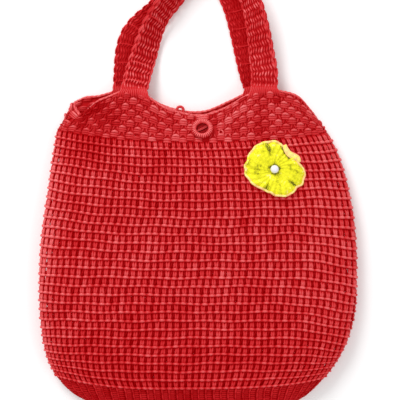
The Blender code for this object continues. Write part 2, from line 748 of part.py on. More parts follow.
def make_flower():
    """One lobed, ruffled form that follows the cloth below it."""
    sides = 3 * RUFFLES
    bm = bmesh.new()
    top, bottom = [], []

    def place(turn, share):
        radius = petal_outline(turn) * share
        return FLOWER_PLACE[0] + radius * math.cos(turn), FLOWER_PLACE[1] + radius * math.sin(turn)

    def under(x, y):
        return front_height(x, y)[0] + FLOWER_SEAT

    for share in FLOWER_RINGS:
        ring_top, ring_bottom = [], []
        for k in range(sides):
            turn = math.tau * k / sides
            x, y = place(turn, share)
            dome = FLOWER_THICK * math.sqrt(max(0.0, 1 - share ** 4))
            dome -= FLOWER_HOLLOW * math.exp(-(share / FLOWER_HOLLOW_WIDTH) ** 2)
            gap = (FLOWER_RADIUS - petal_outline(turn)) / PETAL_NOTCH
            wave = RUFFLE * math.cos(RUFFLES * turn) * share
            thick = max(PETAL_THIN, dome * (1 - PETAL_DIP * gap * share))
            ring_top.append((x, y, under(x, y) + thick + wave))
            ring_bottom.append((x, y, under(x, y)))
        top.append(add_ring(bm, ring_top))
        bottom.append(add_ring(bm, ring_bottom))
    rim = []
    for k in range(sides):
        turn = math.tau * k / sides
        x, y = place(turn, 1.0)
        rim.append((x, y, under(x, y) + PETAL_EDGE + RUFFLE * math.cos(RUFFLES * turn)))
    rim = add_ring(bm, rim)
    for rings in (top, bottom):
        for first, second in zip(rings, rings[1:]):
            bridge(bm, first, second)
        bridge(bm, rings[-1], rim)
    x, y = FLOWER_PLACE
    crown = bm.verts.new((x, y, under(x, y) + FLOWER_THICK - FLOWER_HOLLOW))
    foot = bm.verts.new((x, y, under(x, y)))
    for ring, point in ((top[0], crown), (bottom[0], foot)):
        for k in range(sides):
            bm.faces.new((ring[k], ring[(k + 1) % sides], point))
    make_object("flower", bm, YELLOW, 0.7)
    seat = under(x, y) + FLOWER_THICK - FLOWER_HOLLOW
    bm = bmesh.new()
    bmesh.ops.create_uvsphere(bm, u_segments=14, v_segments=9, radius=BEAD_RADIUS)
    bmesh.ops.translate(bm, verts=bm.verts, vec=(x, y, seat + BEAD_RADIUS + SEAM_GAP))
    make_object("flower_bead", bm, PEARL, 0.2)


def centre_on_floor():
    """Moves everything so that the origin is under the middle of the whole bag."""
    bpy.context.view_layer.update()
    corners = []
    for obj in bpy.context.scene.objects:
        corners += [obj.matrix_world @ Vector(corner) for corner in obj.bound_box]
    low = [min(corner[axis] for corner in corners) for axis in range(3)]
    high = [max(corner[axis] for corner in corners) for axis in range(3)]
    shift = Vector((-(low[0] + high[0]) / 2, -(low[1] + high[1]) / 2, -low[2]))
    for obj in bpy.context.scene.objects:
        obj.location += shift


def main():
    for obj in list(bpy.data.objects):
        bpy.data.objects.remove(obj, do_unlink=True)
    make_base()
    make_mesh_body()
    make_yoke()
    make_handles()
    make_button()
    make_button_tab()
    make_closing_loop()
    make_flower()
    centre_on_floor()


main()
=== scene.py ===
# Red plastic crochet bag lying on its back: everything that shows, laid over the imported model.
import math

import bpy
import numpy as np
from mathutils import Matrix, Vector


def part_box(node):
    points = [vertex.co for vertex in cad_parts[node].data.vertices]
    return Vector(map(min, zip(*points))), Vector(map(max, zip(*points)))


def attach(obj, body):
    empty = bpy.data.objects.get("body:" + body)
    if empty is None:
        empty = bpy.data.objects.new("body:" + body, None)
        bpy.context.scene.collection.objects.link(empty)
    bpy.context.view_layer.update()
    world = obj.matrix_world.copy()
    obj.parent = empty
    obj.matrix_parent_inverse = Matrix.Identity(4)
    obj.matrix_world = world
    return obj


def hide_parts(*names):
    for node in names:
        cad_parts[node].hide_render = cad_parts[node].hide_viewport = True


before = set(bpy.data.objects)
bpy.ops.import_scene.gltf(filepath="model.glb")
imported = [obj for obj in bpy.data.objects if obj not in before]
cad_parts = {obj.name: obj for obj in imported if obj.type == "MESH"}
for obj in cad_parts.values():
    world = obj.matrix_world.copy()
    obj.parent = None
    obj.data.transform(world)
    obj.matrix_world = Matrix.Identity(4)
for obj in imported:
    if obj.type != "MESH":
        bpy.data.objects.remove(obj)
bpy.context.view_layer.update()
bpy.ops.object.select_all(action="DESELECT")
print("frame loaded:", ", ".join(sorted(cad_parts)))

# Lengths below are millimetres on the drawing, whose origin is the middle of the photograph.
mm = 0.001
flower = {
    "place": (77.5, 32.0),
    "radius": 32.0,
    "seat": 1.3,              # clear of the ridges below it
    "bead": 4.3,
    "bend": 0.00075,          # how much the front falls away from its middle, for each mm squared
    "shadeRing": 4.6,             # the ring of painted shade under the bead
    "shadeRingCord": 1.1,
    "shadeRingHeight": 3.2,
}
beadLow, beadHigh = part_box("flower_bead")
beadMiddle = (beadLow + beadHigh) / 2 / mm
drawingOffset = np.array([beadMiddle.x - flower["place"][0], beadMiddle.y - flower["place"][1], 0.0])


def toFrame(points):
    return (np.asarray(points, float) + drawingOffset) * mm


# the cloth's form, as in the solids
cloth = {
    "wall": 3.0,
    "rows": 29,
    "yokeRows": 5,
    "baseRows": 3.7,
    "baseSeamY": -203.5,
    "yokeSeamY": 62.3,
    "bottomY": -225.0,
    "baseLift": 12.0,         # how much the lowest row rises at the sides
    "baseLiftRows": 3.2,
    "baseLiftCurve": 3.5,
    "topLift": 12.2,          # how much the highest row rises at the sides
    "topLiftSkew": 1.8,
    "topLiftRows": (9.0, 25.0),
    "topLiftCurve": 2.3,
    "sag": 4.5,
    "sagWidth": 48.0,
    "sagAlong": (-20.0, 80.0),
    "uneven": 0.9,
    "waves": ((41, 57, 0.0, 1.0), (27, -71, 1.3, 0.8)),     # lengths across and along, start, share
    "frontPower": 2.5,
    "backPower": 5.0,
    "widest": (0.42, 0.34),   # height of the widest place, left and right
    "flatten": 1.06,
    "crease": 3.2,
    "creaseWidth": 0.022,
    "fold": 3.0,
    "foldPlaces": (0.045, -0.05),
    "foldWidth": 0.03,
    "dent": 4.0,
    "dentPlace": (-116.0, 88.0),
    "dentWidth": 15.0,
    "sectionSize": (165.0, 22.0),
    "reach": (0.006, 0.3),    # how far to either side a direction is taken, round the bag and in rows
}
topRow = cloth["rows"] + cloth["yokeRows"]

# y, left edge, right edge, height of the crown, height of the underside
body = np.array((
    (-225.0, -60.0, 46.0, 13.0, 9.0),
    (-224.2, -80.5, 64.5, 16.0, 7.0),
    (-222.0, -99.0, 83.0, 19.2, 4.4),
    (-218.5, -112.5, 96.0, 22.2, 2.2),
    (-213.4, -124.8, 107.6, 25.2, 0.7),
    (-205.9, -136.8, 118.0, 28.0, 0.0),
    (-197.0, -146.0, 127.0, 30.0, 0.0),
    (-188.8, -152.4, 134.0, 31.5, 0.0),
    (-171.6, -161.2, 146.2, 33.6, 0.0),
    (-154.5, -166.0, 155.8, 35.0, 0.0),
    (-137.0, -168.4, 161.8, 36.0, 0.0),
    (-111.6, -170.2, 166.4, 36.8, 0.0),
    (-86.0, -170.6, 167.2, 37.0, 0.0),
    (-34.0, -167.8, 165.5, 37.0, 0.0),
    (8.6, -161.6, 159.2, 35.8, 0.0),
    (42.9, -157.0, 149.6, 33.2, 0.0),
    (62.0, -154.2, 141.4, 30.8, 0.0),
    (80.0, -151.6, 131.5, 28.0, 0.0),
))

# the rim: how far round (0 left side, 1 right side, 2 left side again), x, y, height
rim = np.array((
    (0.00, -127.6, 89.5, 13.5),
    (0.05, -122.5, 95.0, 18.0),
    (0.10, -112.0, 103.5, 21.0),
    (0.16, -99.0, 108.8, 22.0),
    (0.21, -86.5, 113.8, 22.0),
    (0.255, -76.0, 115.0, 22.0),
    (0.295, -64.5, 113.6, 21.8),
    (0.33, -55.0, 109.0, 21.4),
    (0.385, -38.0, 98.4, 19.2),
    (0.455, -18.0, 92.4, 16.4),
    (0.53, 3.0, 90.4, 15.4),
    (0.61, 27.0, 98.0, 16.8),
    (0.695, 52.5, 112.2, 20.0),
    (0.735, 62.5, 115.8, 20.8),
    (0.775, 74.0, 116.6, 21.0),
    (0.82, 85.0, 115.4, 20.6),
    (0.89, 105.0, 109.8, 18.6),
    (0.95, 118.0, 97.0, 15.0),
    (1.00, 127.5, 83.5, 10.5),
    (1.05, 124.5, 92.0, 6.0),
    (1.10, 114.0, 104.0, 2.8),
    (1.17, 98.0, 113.0, 0.6),
    (1.25, 76.0, 119.0, 0.0),
    (1.32, 55.0, 117.0, 0.0),
    (1.40, 33.0, 107.2, 0.0),
    (1.50, 3.0, 95.4, 0.0),
    (1.57, -18.0, 95.6, 0.0),
    (1.65, -42.0, 102.6, 0.0),
    (1.72, -64.0, 113.4, 0.0),
    (1.80, -90.0, 117.0, 0.0),
    (1.88, -113.0, 112.0, 0.6),
    (1.93, -129.0, 109.8, 2.2),
    (1.965, -137.0, 103.5, 5.0),
    (1.985, -133.5, 95.5, 8.5),
))


# a smooth curve through the values at the knots
def curveThrough(knots, values, at):
    knots = np.asarray(knots, float)
    values = np.asarray(values, float)
    at = np.clip(at, knots[0], knots[-1])
    span = np.diff(knots)
    rise = np.diff(values) / span
    inner = (rise[:-1] * span[1:] + rise[1:] * span[:-1]) / (span[:-1] + span[1:])
    slope = np.concatenate([rise[:1], inner, rise[-1:]])
    k = np.clip(np.searchsorted(knots, at, side="right") - 1, 0, len(span) - 1)
    t = (at - knots[k]) / span[k]
    low = (1 + 2 * t) * (1 - t) ** 2 * values[k] + t * (1 - t) ** 2 * span[k] * slope[k]
    high = t * t * (3 - 2 * t) * values[k + 1] + t * t * (t - 1) * span[k] * slope[k + 1]
    return low + high


def distances(points):
    return np.concatenate([[0.0], np.cumsum(np.linalg.norm(np.diff(points, axis=0), axis=1))])


def ease(value, start, end):
    t = np.clip((value - start) / (end - start), 0.0, 1.0)
    return t * t * (3 - 2 * t)


def bell(value, width):
    return np.exp(-((value / width) ** 2))


def nearDent(points, width):
    x, y = cloth["dentPlace"]
    return np.exp(-((points[..., 0] - x) ** 2 + (points[..., 1] - y) ** 2) / width ** 2)


# seen from above, how far each place is from the nearest of some points
def nearest(places, points):
    x, y = (places[:, None, k] - points[None, :, k] for k in (0, 1))
    return np.min(np.hypot(x, y), axis=1)


# half a cross-section: share of the way along it, and the place there, from -1 to 1 across and 0 to 1 up
def unitSide(power):
    angle = np.linspace(math.pi, 0.0, 1441)
    x = np.sign(np.cos(angle)) * np.abs(np.cos(angle)) ** (2 / power)
    z = np.abs(np.sin(angle)) ** (2 / power)
    width, height = cloth["sectionSize"]
    along = np.concatenate([[0.0], np.cumsum(np.hypot(np.diff(x) * width, np.diff(z) * height))])
    return along / along[-1], x, z


frontSide = unitSide(cloth["frontPower"])
backSide = unitSide(cloth["backPower"])


def bodyPoint(around, row):
    around = np.mod(around, 2.0)
    front = around <= 1.0
    far = np.where(front, around, 2.0 - around)
    x, share = (np.where(front, *(np.interp(far, side[0], side[k]) for side in (frontSide, backSide)))
                for k in (1, 2))
    meshRow = np.clip(row, 0.0, cloth["rows"])
    y = cloth["baseSeamY"] + (cloth["yokeSeamY"] - cloth["baseSeamY"]) * (meshRow / cloth["rows"])
    y = y + cloth["baseLift"] * bell(meshRow, cloth["baseLiftRows"]) * np.abs(x) ** cloth["baseLiftCurve"]
    topLift = (cloth["topLift"] - cloth["topLiftSkew"] * x) * ease(row, *cloth["topLiftRows"])
    y = y + topLift * np.abs(x) ** cloth["topLiftCurve"]
    y = y + (cloth["bottomY"] - y) * np.sin(np.clip(-row / cloth["baseRows"], 0.0, 1.0) * math.pi / 2)
    left, right, crown, under = (curveThrough(body[:, 0], body[:, k], y) for k in (1, 2, 3, 4))
    under = np.maximum(under, 0.0)
    leftWidest, rightWidest = cloth["widest"]
    widest = (leftWidest + rightWidest) / 2 + (rightWidest - leftWidest) / 2 * x
    x = (left + right) / 2 + (right - left) / 2 * x
    middle = under + (crown - under) * widest
    wave = sum(part * np.sin(x / wide + y / tall + start) for wide, tall, start, part in cloth["waves"])
    sunk = cloth["sag"] * ease(y, *cloth["sagAlong"]) * bell(x, cloth["sagWidth"])
    upper = middle + (crown - middle) * share + share * (cloth["uneven"] * wave - sunk)
    lower = np.maximum(under, middle - (middle - under) * cloth["flatten"] * share)
    return np.stack([x, y, np.where(front, upper, lower)], axis=-1)


def rimPoint(around):
    table = np.concatenate([rim[-2:] - (2, 0, 0, 0), rim, rim[:2] + (2, 0, 0, 0)])
    out = [curveThrough(table[:, 0], table[:, k], np.mod(around, 2.0)) for k in (1, 2, 3)]
    out[2] = np.maximum(out[2], 0.0)
    return np.stack(out, axis=-1)


# around: 0 to 1 over the front, 1 to 2 over the back; row: below 0 the base, 0 to 29 the mesh, then the yoke
def clothPoint(around, row):
    around, row = np.broadcast_arrays(np.asarray(around, float), np.asarray(row, float))
    point = bodyPoint(around, row)
    up = np.clip((row - cloth["rows"]) / cloth["yokeRows"], 0.0, 1.0)
    point = point + (rimPoint(around) - point) * up[..., None]
    swell = 4 * up * (1 - up)
    side = np.mod(around + 1.0, 2.0) - 1.0
    crease = bell(side, cloth["creaseWidth"])
    fold = sum(bell(side - place, cloth["foldWidth"]) for place in cloth["foldPlaces"])
    point[..., 0] += (cloth["crease"] * crease - cloth["fold"] * fold) * swell
    dent = cloth["dent"] * nearDent(point, cloth["dentWidth"]) * (np.abs(side - 0.5) < 0.5)
    point[..., 2] -= dent * ease(row, cloth["rows"] - 4, cloth["rows"])
    return point


def clothNormal(around, row):
    around, row = np.broadcast_arrays(np.asarray(around, float), np.asarray(row, float))
    row = np.minimum(row, topRow)
    turn, step = cloth["reach"]
    low = np.clip(row - step, -0.97 * cloth["baseRows"], topRow)
    high = np.clip(row + step, -0.9 * cloth["baseRows"], topRow)
    along = clothPoint(around, high) - clothPoint(around, low)
    across = clothPoint(around + turn, row) - clothPoint(around - turn, row)
    normal = np.cross(across, along)
    return normal / np.linalg.norm(normal, axis=-1, keepdims=True)


def clothPlace(around, row, out):
    return clothPoint(around, row) + clothNormal(around, row) * np.asarray(out)[..., None]


# the cloth narrows downwards, but its columns and ribs stay more upright than its outline
def uprightAt(around, narrowing):
    around = np.mod(around, 2.0)
    front = around <= 1.0
    far = np.where(front, around, 2.0 - around)
    for here, (lengths, places) in ((front, frontSide[:2]), (~front, backSide[:2])):
        x = np.interp(far, lengths, places)
        x = x * (1 + (narrowing - 1) * (1 - np.abs(x) ** 3))
        far = np.where(here, np.interp(x, places, lengths), far)
    return np.where(front, far, 2.0 - far)


# what many cords share: one is modelled, read as numbers and laid down again and again
def deselect():
    bpy.ops.object.select_all(action="DESELECT")


def addCord(name, points, radius=1.0, radii=None, roundness=1):
    deselect()
    bpy.ops.curve.primitive_nurbs_path_add(location=(0, 0, 0))
    cord = bpy.context.object
    cord.name = name
    line = cord.data
    line.splines.clear()
    spline = line.splines.new("POLY")
    spline.points.add(len(points) - 1)
    for number, (point, place) in enumerate(zip(spline.points, points)):
        point.co = (*place, 1.0)
        point.radius = 1.0 if radii is None else radii[number]
    line.dimensions = "3D"
    line.bevel_depth = radius
    line.bevel_resolution = roundness
    line.use_fill_caps = True
    return cord


def choose(*pieces):
    deselect()
    for piece in pieces:
        piece.select_set(True)
    bpy.context.view_layer.objects.active = pieces[0]


def startEdit():
    bpy.ops.object.mode_set(mode="EDIT")
    bpy.ops.mesh.select_all(action="SELECT")


def endEdit():
    bpy.ops.object.mode_set(mode="OBJECT")


def readNumbers(items, name, size, kind=float):
    values = np.empty(len(items) * size, kind)
    items.foreach_get(name, values)
    return values.reshape(-1, size) if size > 1 else values


def setTone(mesh, tone):
    if "tone" not in mesh.attributes:
        mesh.attributes.new("tone", "FLOAT", "POINT")
    mesh.attributes["tone"].data.foreach_set("value", np.asarray(tone, np.float32))


# painted shade and highlight: heights over the cloth, and how much lighter a cord is made there
cordShade = ((-3.0, -0.6, 1.3, 2.1, 2.9), (-0.34, -0.22, -0.05, 0.08, 0.34))
evenShade = ((0.0,), (0.0,))


# cords: a list of (points, radii), joined into one pattern of tubes
def cordPattern(cords, shades=cordShade):
    made = [addCord("strand", points, 1.0, np.broadcast_to(radii, len(points))) for points, radii in cords]
    choose(*made)
    bpy.ops.object.convert(target="MESH")
    if len(made) > 1:
        bpy.ops.object.join()
    piece = bpy.context.object
    startEdit()
    bpy.ops.mesh.remove_doubles(threshold=0.001)
    bpy.ops.mesh.normals_make_consistent(inside=False)
    endEdit()
    mesh = piece.data
    places = readNumbers(mesh.vertices, "co", 3)
    corners = readNumbers(mesh.loops, "vertex_index", 1, int)
    starts = readNumbers(mesh.polygons, "loop_start", 1, int)
    uv = readNumbers(mesh.uv_layers[0].data, "uv", 2)
    bpy.data.objects.remove(piece, do_unlink=True)
    sizes = np.diff(np.append(starts, len(corners)))
    faces = list(zip(starts, sizes))
    backwards = np.concatenate([np.arange(start + size - 1, start - 1, -1) for start, size in faces])
    triangles = np.array([(corners[start], corners[start + k], corners[start + k + 1])
                          for start, size in faces for k in range(1, size - 1)])
    return {"places": places, "corners": corners, "starts": starts, "uv": uv, "backwards": backwards,
            "triangles": triangles, "shade": np.interp(places[:, 2], *shades)}


# batches: (pattern, places of its points in every copy, tone of every copy)
def layCopies(name, batches):
    places, corners, starts, uvs, tones = [], [], [], [], []
    pointCount = cornerCount = 0
    for pattern, laid, tone in batches:
        count, size = laid.shape[:2]
        if not count:
            continue
        step = np.arange(count)[:, None]
        # a mirrored copy would be inside out: its faces are turned round
        shape = (laid - laid.mean(axis=1, keepdims=True))[:, pattern["triangles"]]
        first, second, third = np.moveaxis(shape, 2, 0)
        volume = np.sum(first * np.cross(second, third), axis=(1, 2))
        order = np.where(volume[:, None] < 0, pattern["backwards"], np.arange(len(pattern["corners"])))
        # what would reach into the floor rests on it
        sunk = np.maximum(0.1 - laid[..., 2].min(axis=1), 0.0)
        places.append((laid + sunk[:, None, None] * np.array((0.0, 0.0, 1.0))).reshape(-1, 3))
        corners.append((pattern["corners"][order] + pointCount + step * size).ravel())
        starts.append((pattern["starts"][None] + cornerCount + step * len(pattern["corners"])).ravel())
        shift = np.stack([np.zeros(count), chance.uniform(0.0, 9.0, count)], axis=1)
        uvs.append((pattern["uv"][order] + shift[:, None, :]).reshape(-1, 2))
        # each copy's tone with the pattern's painted shade added
        tones.append((np.asarray(tone, float).reshape(count, -1) + pattern["shade"][None]).ravel())
        pointCount += count * size
        cornerCount += count * len(pattern["corners"])
    mesh = bpy.data.meshes.new(name)
    mesh.vertices.add(pointCount)
    mesh.vertices.foreach_set("co", toFrame(np.concatenate(places)).ravel())
    mesh.loops.add(cornerCount)
    mesh.loops.foreach_set("vertex_index", np.concatenate(corners).astype(np.int32))
    starts = np.concatenate(starts).astype(np.int32)
    mesh.polygons.add(len(starts))
    mesh.polygons.foreach_set("loop_start", starts)
    mesh.update(calc_edges=True)
    mesh.uv_layers.new(name="UVMap").data.foreach_set("uv", np.concatenate(uvs).astype(np.float32).ravel())
    setTone(mesh, np.concatenate(tones))
    piece = bpy.data.objects.new(name, mesh)
    bpy.context.collection.objects.link(piece)
    choose(piece)
    bpy.ops.object.shade_smooth()
    return piece


def layOne(name, pattern, places, tone):
    return layCopies(name, [(pattern, places[None], [tone])])


def someTones(middle, spread, count, highest=1.0):
    return np.clip(middle + chance.normal(0.0, spread, count), 0.0, highest)


def thicken(sheet, thickness):
    wall = sheet.modifiers.new("wall", "SOLIDIFY")
    wall.thickness = thickness * mm
    wall.offset = -1.0
    bpy.ops.object.modifier_apply(modifier=wall.name)


# a grid primitive whose points go where place(across, along) says, each from 0 to 1, then thickened inwards
def addSheet(name, across, along, place, thickness, closed=False, tone=0.35):
    deselect()
    bpy.ops.mesh.primitive_grid_add(x_subdivisions=across, y_subdivisions=along, size=1.0, location=(0, 0, 0))
    sheet = bpy.context.object
    sheet.name = name
    places = readNumbers(sheet.data.vertices, "co", 3) + 0.5
    sheet.data.vertices.foreach_set("co", toFrame(place(places[:, 0], places[:, 1])).ravel())
    sheet.data.update()
    if closed:
        startEdit()
        bpy.ops.mesh.remove_doubles(threshold=0.00002)
        endEdit()
    if thickness:
        thicken(sheet, thickness)
    bpy.ops.object.shade_smooth()
    setTone(sheet.data, np.full(len(sheet.data.vertices), tone))
    return sheet


chance = np.random.default_rng(29)
print("form of the cloth ready")


# finishes
finish = {
    # the cord from dark to light: painted shade in the tone reaches the dark end, painted highlights the
    # light end
    "cordDark": (0.23, 0.0, 0.001),
    "cordMiddle": (0.46, 0.016, 0.020),
    "cordLight": (0.62, 0.105, 0.108),
    "paintedGlow": (1.0, 0.0, 0.003),         # painted glow: red emission that lifts the hollows, standing in for light carried into them
    "yarnMiddle": (0.74, 0.71, 0.010),
    "yarnPale": (0.86, 0.81, 0.018),
    # the yellow in painted shade, reached in the creases and in darker random patches
    "yarnShadedOlive": (0.14, 0.13, 0.004),
    "yarnButter": (0.94, 0.83, 0.26),
    "yarnEdge": (0.95, 0.60, 0.22),
    "pearl": (0.88, 0.87, 0.88),
    "pearlShade": (0.74, 0.70, 0.82),
    "floor": (0.93, 0.93, 0.93),
}


def newMaterial(name):
    material = bpy.data.materials.new(name)
    material.use_nodes = True
    return material, material.node_tree, material.node_tree.nodes["Principled BSDF"]


# inputs are given as values or as the outputs of other nodes
def setInputs(tree, node, inputs):
    for name, value in inputs.items():
        if isinstance(value, bpy.types.NodeSocket):
            tree.links.new(value, node.inputs[name])
        else:
            node.inputs[name].default_value = value


def addNode(tree, kind, inputs, output, **settings):
    node = tree.nodes.new("ShaderNode" + kind)
    for name, value in settings.items():
        setattr(node, name, value)
    setInputs(tree, node, inputs)
    return node.outputs[output]


def addNoise(tree, vector, scale, detail):
    return addNode(tree, "TexNoise", {"Vector": vector, "Scale": scale, "Detail": detail}, "Fac")


def addRange(tree, value, low, high, start=0.0, end=1.0):
    limits = {"From Min": start, "From Max": end, "To Min": low, "To Max": high}
    return addNode(tree, "MapRange", {"Value": value, **limits}, "Result")


def addBump(tree, height, strength):
    return addNode(tree, "Bump", {"Height": height, "Strength": strength, "Distance": 0.0004}, "Normal")


# the tone of the stitch with marks of given strength added to it
def addTones(tree, base, marks):
    tone = addNode(tree, "Attribute", {}, "Fac", attribute_name="tone")
    total = base
    for mark, strength in (*marks, (tone, 1.0)):
        total = addNode(tree, "Math", {0: mark, 1: strength, 2: total}, 0, operation="MULTIPLY_ADD")
    return total


# colours from dark to light with the place of each
def addRamp(tree, value, stops):
    node = tree.nodes.new("ShaderNodeValToRGB")
    elements = node.color_ramp.elements
    for place, colour in stops[1:-1]:
        elements.new(place)
    for element, (place, colour) in zip(elements, stops):
        element.color = (*finish[colour], 1.0)
    tree.links.new(value, node.inputs["Fac"])
    return node.outputs["Color"]


# plastic cord: darker and lighter stitches with painted shade and highlights in their tone, dull and bright
# patches, fine streaks along every cord, a shine that fades with the tone, and a painted red glow
def cordMaterial(name, lighter=0.0, roughness=0.42, shine=0.55, glow=0.16):
    material, tree, shader = newMaterial(name)
    where, along = (addNode(tree, "TexCoord", {}, output) for output in ("Object", "UV"))
    along = addNode(tree, "Mapping", {"Vector": along, "Scale": (9.0, 1.3, 1.0)}, "Vector")
    streaks = addNoise(tree, along, 1.0, 2.0)
    total = addTones(tree, lighter - 0.32, ((addNoise(tree, where, 24.0, 3.0), 0.34), (streaks, 0.3)))
    setInputs(tree, shader, {
        "Base Color": addRamp(tree, total, ((0.0, "cordDark"), (0.55, "cordMiddle"), (1.0, "cordLight"))),
        "Roughness": addRange(tree, addNoise(tree, where, 620.0, 2.0), roughness - 0.08, roughness + 0.14),
        "Normal": addBump(tree, streaks, 0.35),
        "Specular IOR Level": addRange(tree, total, 0.04, shine, 0.25, 0.9),
        "Emission Color": (*finish["paintedGlow"], 1.0),
        "Emission Strength": glow,
    })
    return material


# crocheted yarn: matt, with a soft nap, painted olive shade in the hollows and a paler trimmed edge
def yarnMaterial(name):
    material, tree, shader = newMaterial(name)
    where = addNode(tree, "TexCoord", {}, "Object")
    patches = addNoise(tree, where, 90.0, 4.0)
    specks = addNoise(tree, where, 420.0, 2.0)
    nap = addNoise(tree, where, 1500.0, 4.0)
    total = addTones(tree, -1.0, ((patches, 1.1), (specks, 0.9)))
    stops = ((0.0, "yarnShadedOlive"), (0.38, "yarnMiddle"), (0.68, "yarnPale"), (0.84, "yarnButter"),
             (1.0, "yarnEdge"))
    setInputs(tree, shader, {
        "Base Color": addRamp(tree, total, stops),
        "Roughness": addRange(tree, nap, 0.62, 0.9),
        "Normal": addBump(tree, nap, 0.6),
        "Sheen Weight": 0.05,
        "Specular IOR Level": 0.2,
    })
    return material


def pearlMaterial(name):
    material, tree, shader = newMaterial(name)
    clouds = addNoise(tree, addNode(tree, "TexCoord", {}, "Object"), 260.0, 2.0)
    setInputs(tree, shader, {
        "Base Color": addRamp(tree, clouds, ((0.0, "pearlShade"), (1.0, "pearl"))),
        "Roughness": addRange(tree, clouds, 0.12, 0.26),
        "Coat Weight": 0.5,
        "Coat Roughness": 0.08,
    })
    return material


cordRed = cordMaterial("plastic cord")
# copies of the cord in painted shade: darker, duller and with less painted glow
cordShaded = cordMaterial("plastic cord in shade", lighter=0.08, roughness=0.6, shine=0.1, glow=0.12)
cordYoke = cordMaterial("plastic cord of the yoke", lighter=0.06, roughness=0.45, shine=0.62, glow=0.12)
cordInHollowShade = cordMaterial("plastic cord in the painted shade of a hollow", lighter=-0.4, roughness=0.7, shine=0.06, glow=0.0)
# the closing cord has no tone of its own: lighter stands in for it, a little above the rest as painted light
cordBright = cordMaterial("closing cord", lighter=0.62)
yarnYellow = yarnMaterial("yellow yarn")
pearlWhite = pearlMaterial("pearl")


def finishPiece(piece, material, slot, *nodes):
    piece.data.materials.clear()
    piece.data.materials.append(material)
    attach(piece, "root")
    if nodes:
        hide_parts(*nodes)
    return piece


# camera, straight above the middle of the photograph
camera = {
    "height": 0.85,
    "sensor": 36.0,
    "lens": 70.07,
}
middle = toFrame((0.0, 0.0, 0.0))
bpy.ops.object.camera_add(location=(middle[0], middle[1], camera["height"]), rotation=(0, 0, 0))
bpy.context.scene.camera = bpy.context.object
bpy.context.object.data.sensor_width = camera["sensor"]
bpy.context.object.data.lens = camera["lens"]
bpy.context.object.data.clip_start = 0.01

# closing loop: a cord that leaves the inside of the back, stands up behind the front rim and goes back in
loop = {
    "radius": 1.5,
    "bend": 3.7,
    "place": (-21.6, 97.6),
    "leg": ((76.0, 0.0), (82.0, 0.05), (88.0, 0.3), (94.0, 0.65)),
    "top": 0.8,
    "points": 30,
    "inside": 3.3,            # the inner face of the back, with a hair's gap
}


def loopLine():
    x, y = loop["place"]
    inside = loop["inside"] + loop["radius"]
    left, right = ([(x + side * loop["bend"], place, inside + rise) for place, rise in loop["leg"]]
                   for side in (-1, 1))
    arch = [(x + loop["bend"] * math.cos(turn), y + loop["bend"] * math.sin(turn), inside + loop["top"])
            for turn in map(math.radians, range(180, -1, -30))]
    route = np.array(left + arch + right[::-1])
    along = distances(route)
    at = np.linspace(0, along[-1], loop["points"])
    return np.stack([curveThrough(along, route[:, k], at) for k in range(3)], axis=1)


loopPoints = toFrame(loopLine())
loopCord = addCord("loopCord", loopPoints, loop["radius"] * mm, roundness=3)
finishPiece(loopCord, cordBright, "red_cord", "closing_loop")


# mesh of the body: rows of stitches with real holes between them
stitch = {
    "round": 50,              # stitches to each side
    "pitch": 7.0,             # width of one as it is modelled
    "height": 9.17,
    "bead": 1.42,             # radius of the ridge at a stitch's foot
    "beadEnd": 1.15,
    "post": 1.16,
    "behind": 1.35,           # the strand that crosses behind each hole
    "wander": 0.07,           # how far stitches stray, as a share of their width
    "lowest": 0.6,            # the last row, above the seam with the base
    "shift": 0.22,            # of a row against the one below it, in stitches
    "widths": (0.94, 1.06),
    "uneven": 0.12,
    "drawn": 0.028,           # how far the lower columns are drawn together at the left edge
    "drawnWidth": 0.05,
    "drawnRows": (8.0, 26.0),
    "narrowing": (1.14, 0.14),          # in the lowest row, and how much less in the higher ones
    "narrowingRows": (0.0, 9.0),
    "drift": ((0.05, 6, 0.7), (0.04, 14, -1.1)),        # rows, half waves to each side, turn in each row
    "evenRows": 3.0,          # at both ends, where the drift fades
    "turnDown": (1.4, 1.02, 0.14),      # rows, place round the bag, width
    "tone": (0.53, 0.06),     # middle and spread
    # painted light and shade: over the whole mesh, and on each stitch by its height
    "leftLight": (0.34, -168.0, 20.0),  # strength, x, width
    "rightLight": (0.07, 50.0, 150.0),  # strength, x where it starts and where it is full
    "baseShade": (0.12, 70.0, 190.0),   # the same downwards
    "dentShade": (0.28, -120.0, 24.0, 62.0, 28.0),      # strength, x, width, y, height
    "shade": ((-3.0, -0.6, 1.3, 2.1, 2.9), (-0.34, -0.22, -0.03, 0.07, 0.22)),
}


def stitchPattern(foot, waist, top, lean=0.0):
    bead, end, post = stitch["bead"], stitch["beadEnd"], stitch["post"]
    cords = [([(-3.8, -0.4, 0.1), (-1.7, 0.1, 1.0), (0.0, 0.35, 1.6), (1.7, 0.15, 1.0), (3.8, -0.4, 0.1)],
              (end, 0.95 * bead, 1.12 * bead, 0.95 * bead, end))]
    for side in (-1, 1):
        line = [(side * foot, 0.7, 0.45), (side * waist + lean, 4.6, 0.8), (side * top + 2 * lean, 8.6, -0.5)]
        cords.append((line, (0.98 * post, 1.06 * post, 0.92 * post)))
    pattern = cordPattern(cords, stitch["shade"])
    # painted light where the posts meet the ridge, painted shade at their top and in the ridge between them
    x, y, z = pattern["places"].T
    pattern["shade"] += np.interp(y, (-1.4, 0.4, 2.6, 5.5, 7.4, 8.8), (0.0, 0.1, 0.09, 0.02, -0.14, -0.36))
    pattern["shade"] -= np.where(y < 1.6, np.interp(np.abs(x), (2.0, 3.4), (0.0, 0.16)), 0.0)
    return pattern


stitches = (
    (stitchPattern(0.7, 0.98, 1.5), 0.40),              # spread at the top
    (stitchPattern(0.8, 1.15, 0.95), 0.22),             # bowed
    (stitchPattern(0.95, 0.95, 1.0), 0.22),             # upright
    (stitchPattern(1.4, 1.0, 0.8), 0.08),               # spread at the foot
    (stitchPattern(0.75, 0.95, 1.1, 0.4), 0.08),        # leaning
)
strandBehind = cordPattern([([(2.2, 0.6, -1.9), (3.6, 4.4, -2.3), (4.8, 8.0, -2.0)], stitch["behind"])])


